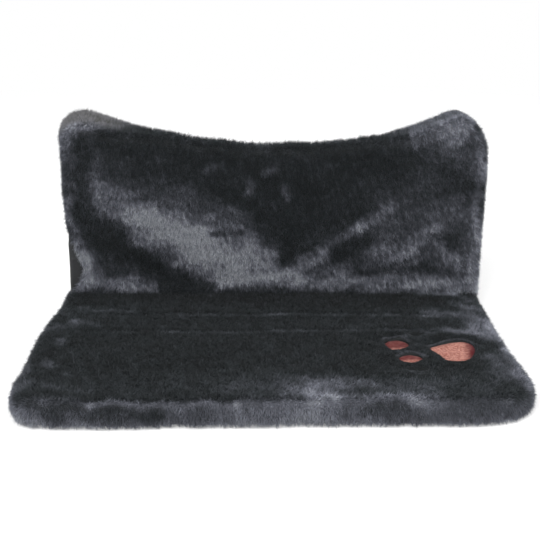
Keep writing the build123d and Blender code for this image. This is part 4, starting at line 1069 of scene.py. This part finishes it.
# Rear lining: two panels of the woven polyester over the uprights' backs, drawn tight. They are
# sewn to the plush along the top, with the zip's slot between them and a notch for each arm.
lining_y, zip_z, slot_end, slot_r = 8.8, 92.0, 144.0, 4.0
notch_in, notch_out, notch_z, step_x, step_z = 197.0, 215.0, 172.0, 149.7, 185.9
foot_x, foot_z, foot_hole_r = 150, 58, 6.5


def rear_slack(x, z):
    """How far the lining stands off: soft tension folds, none under the zip's tapes and the feet."""
    flat = np.stack([x, 0 * x, z], -1)
    slack = 0.9 * np.clip(0.5 + waves(flat * (1, 1, 0.45), 46, 93), 0, 2) + 0.35 * waves(flat, 19, 94)
    tape = 1 - hump(np.clip(np.abs(z - zip_z) - 14, 0, 99), 0, 9) * (np.abs(x) < 172)
    feet = 1 - hump(np.clip(np.hypot(np.abs(x) - foot_x, z - foot_z) - 12, 0, 99), 0, 8)
    side = np.clip((212 - np.abs(x)) / 16, 0, 1)
    return np.clip(slack, 0, 2) * tape * feet * side


def rear_columns(z):
    """Places across the panel at each height: even inside the arms' notches, then drawn out to
    the notch's outer side and to the edge, which is wider at the top."""
    fixed = np.r_[np.linspace(0, slot_end, 25),
                  slot_end + slot_r * np.sin(np.linspace(0, math.pi / 2, 7))[1:],
                  step_x - 0.1, step_x + 0.1, np.linspace(step_x + 0.1, notch_in, 9)[1:]]
    halves = []
    for edge in (214.4, 214.0 + 9.6 * z / 188):
        turn = min(notch_out, edge - 0.4) - 8 * np.clip(1 - z / notch_z, 0, 1)
        k = np.linspace(0, 1, 6)[1:]
        halves.append(np.concatenate([fixed, notch_in + (turn - notch_in) * k,
                                      turn + (edge - turn) * np.linspace(0, 1, 5)[1:]]))
    return np.concatenate([-halves[0][::-1], halves[1][1:]])


for name, flat, area in (("upper", (0.4512, 0.1048), 0.0425), ("lower", (0.4394, 0.0917), 0.0390)):
    at_zip = rear_columns(zip_z)
    notch = slot_r * np.sqrt(np.clip(1 - np.clip((np.abs(at_zip) - slot_end) / slot_r, 0, 1) ** 2, 0, 1))
    notch = np.where(np.abs(at_zip) > slot_end + slot_r, 0.1, np.maximum(notch, 0.1))
    if name == "lower":
        low_z, high_z = 0.2, zip_z - notch
        rows = np.linspace(0, 1, 34)
    else:
        top = sag_z - np.sqrt(717.7 ** 2 - at_zip ** 2)
        low_z, high_z = zip_z + notch, np.where(np.abs(at_zip) < step_x, top, step_z)
        knee = (notch_z - zip_z) / (step_z - zip_z)
        rows = np.r_[np.linspace(0, knee, 26), np.linspace(knee, 1, 7)[1:]]
    z = low_z + (high_z - low_z) * rows[:, None]
    level = np.median(z, 1) if name == "lower" else zip_z + (step_z - zip_z) * rows
    x = np.stack([rear_columns(v) for v in level])
    panel = np.dstack([x, lining_y + rear_slack(x, z), z])
    middle = (panel[:-1, :-1] + panel[1:, 1:]) / 2
    in_notch = (np.abs(middle[..., 0]) > notch_in) & (middle[..., 0] < notch_out) & (middle[..., 2] > notch_z)
    at_foot = np.hypot(np.abs(middle[..., 0]) - foot_x, middle[..., 2] - foot_z) < foot_hole_r
    cloth_panel(f"rear_panel_{name}", panel, black_lining, f"back_cover_rear_{name}",
                keep=~(in_notch | at_foot))

# Zip: a 5 mm nylon coil zip 300 mm long. Two woven tapes are stitched to the panels, and each
# carries one coil of nylon wire whose turns lock between the other's.
zip_tape = woven_cloth("black zip tape", "#101112", "#26272A", 0.9, roughness=0.55, twill=True)
tape_half, tape_y, tape_w, coil_y = 160.0, 9.8, 12.0, 11.2
for name, side in (("upper", 1), ("lower", -1)):
    x, v = np.meshgrid(np.linspace(-tape_half, tape_half, 160), np.linspace(0.1, tape_w + 0.1, 9))
    raised = 0.12 * waves(np.dstack([x, 0 * x, v]), 26, 96) * np.clip(v / 6, 0, 1)
    raised = raised - 0.1 * hump(v, 9, 1)
    tape = np.dstack([x, tape_y + raised, zip_z + side * v])
    cloth_panel(f"zip_band_{name}", tape, zip_tape, f"zip_tape_{name}",
                thickness=0.7)
# Lockstitch: black spun polyester thread, two rows along each tape, one stitch to each 3.2 mm.
stitch_from, stitch_gap, stitch_len, stitch_r = -156.0, 3.2, 2.5, 0.32
start = np.arange(stitch_from, -stitch_from, stitch_gap)
bead_u, bead_v = np.meshgrid(np.linspace(0, 1, 7), np.linspace(0, 2 * math.pi, 7)[:-1], indexing="ij")
swell = stitch_r * np.sqrt(np.clip(1 - (2 * bead_u - 1) ** 4, 0, 1))
bead = np.dstack([bead_u * stitch_len, swell * np.cos(bead_v) - 0.5 * (2 * bead_u - 1) ** 2 * stitch_r,
                  swell * np.sin(bead_v)])
places = np.array([(x, tape_y + 0.5, zip_z + side * v)
                   for side in (1, -1) for v in (7.2, 10.6) for x in start])
points = (places[:, None] + bead.reshape(1, -1, 3)).reshape(-1, 3)
bead_faces = quads(bead.shape, around=(False, True), turned=True)
faces = bead_faces[None] + bead.shape[0] * bead.shape[1] * np.arange(len(places))[:, None, None]
stitches = make_mesh("zip_stitches", points, faces.reshape(-1, 4), merge=0.002)
sewing_thread = hard_finish("black sewing thread", "#1E1F21", "#303134", 0.55, 0.6, 0.08, patch=5.0)
finish_piece(stitches, sewing_thread)


def helix_tube(turns, start_x, pitch, centre_z, reach_y, reach_z, wire, phase, sides=6, steps=12):
    """A flattened helix along X: an oval of reach_y by reach_z about its own line, carried on by
    one pitch each turn, with a round wire about it whose ends are closed."""
    t = np.linspace(0, turns, turns * steps + 1)
    angle = 2 * np.pi * t + phase
    path = np.column_stack([start_x + pitch * t, coil_y + reach_y * np.cos(angle),
                            centre_z + reach_z * np.sin(angle)])
    way = unit(np.gradient(path, axis=0))
    out = unit(np.column_stack([0 * t, np.cos(angle) / reach_y, np.sin(angle) / reach_z]))
    out = unit(out - (out * way).sum(1, keepdims=True) * way)
    across = np.cross(way, out)
    turn = np.linspace(0, 2 * np.pi, sides + 1)[:-1, None]
    wires = np.full((len(t), 1, 1), wire)
    wires[[0, -1]] = 1e-4
    return path[:, None] + wires * (np.cos(turn) * out[:, None] + np.sin(turn) * across[:, None])


# Nylon coil: black monofilament 0.6 mm thick, half glossy. The pitch is drawn at 2 mm.
coil_half, coil_pitch = 142.3, 2.0
turns = int(2 * coil_half / coil_pitch)
coils = [helix_tube(turns, -coil_half, coil_pitch, zip_z + side * 1.15, 0.66, 1.35, 0.32, phase)
         for side, phase in ((1, 0.0), (-1, math.pi))]
coil = joined("zip_coil_wire", coils, around=(False, True), turned=True)
coil_nylon = hard_finish("black nylon coil", "#17181A", "#232427", 0.35, 0.6, 0.03, patch=6.0)
finish_piece(coil, coil_nylon, "zip_coil")

low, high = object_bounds()
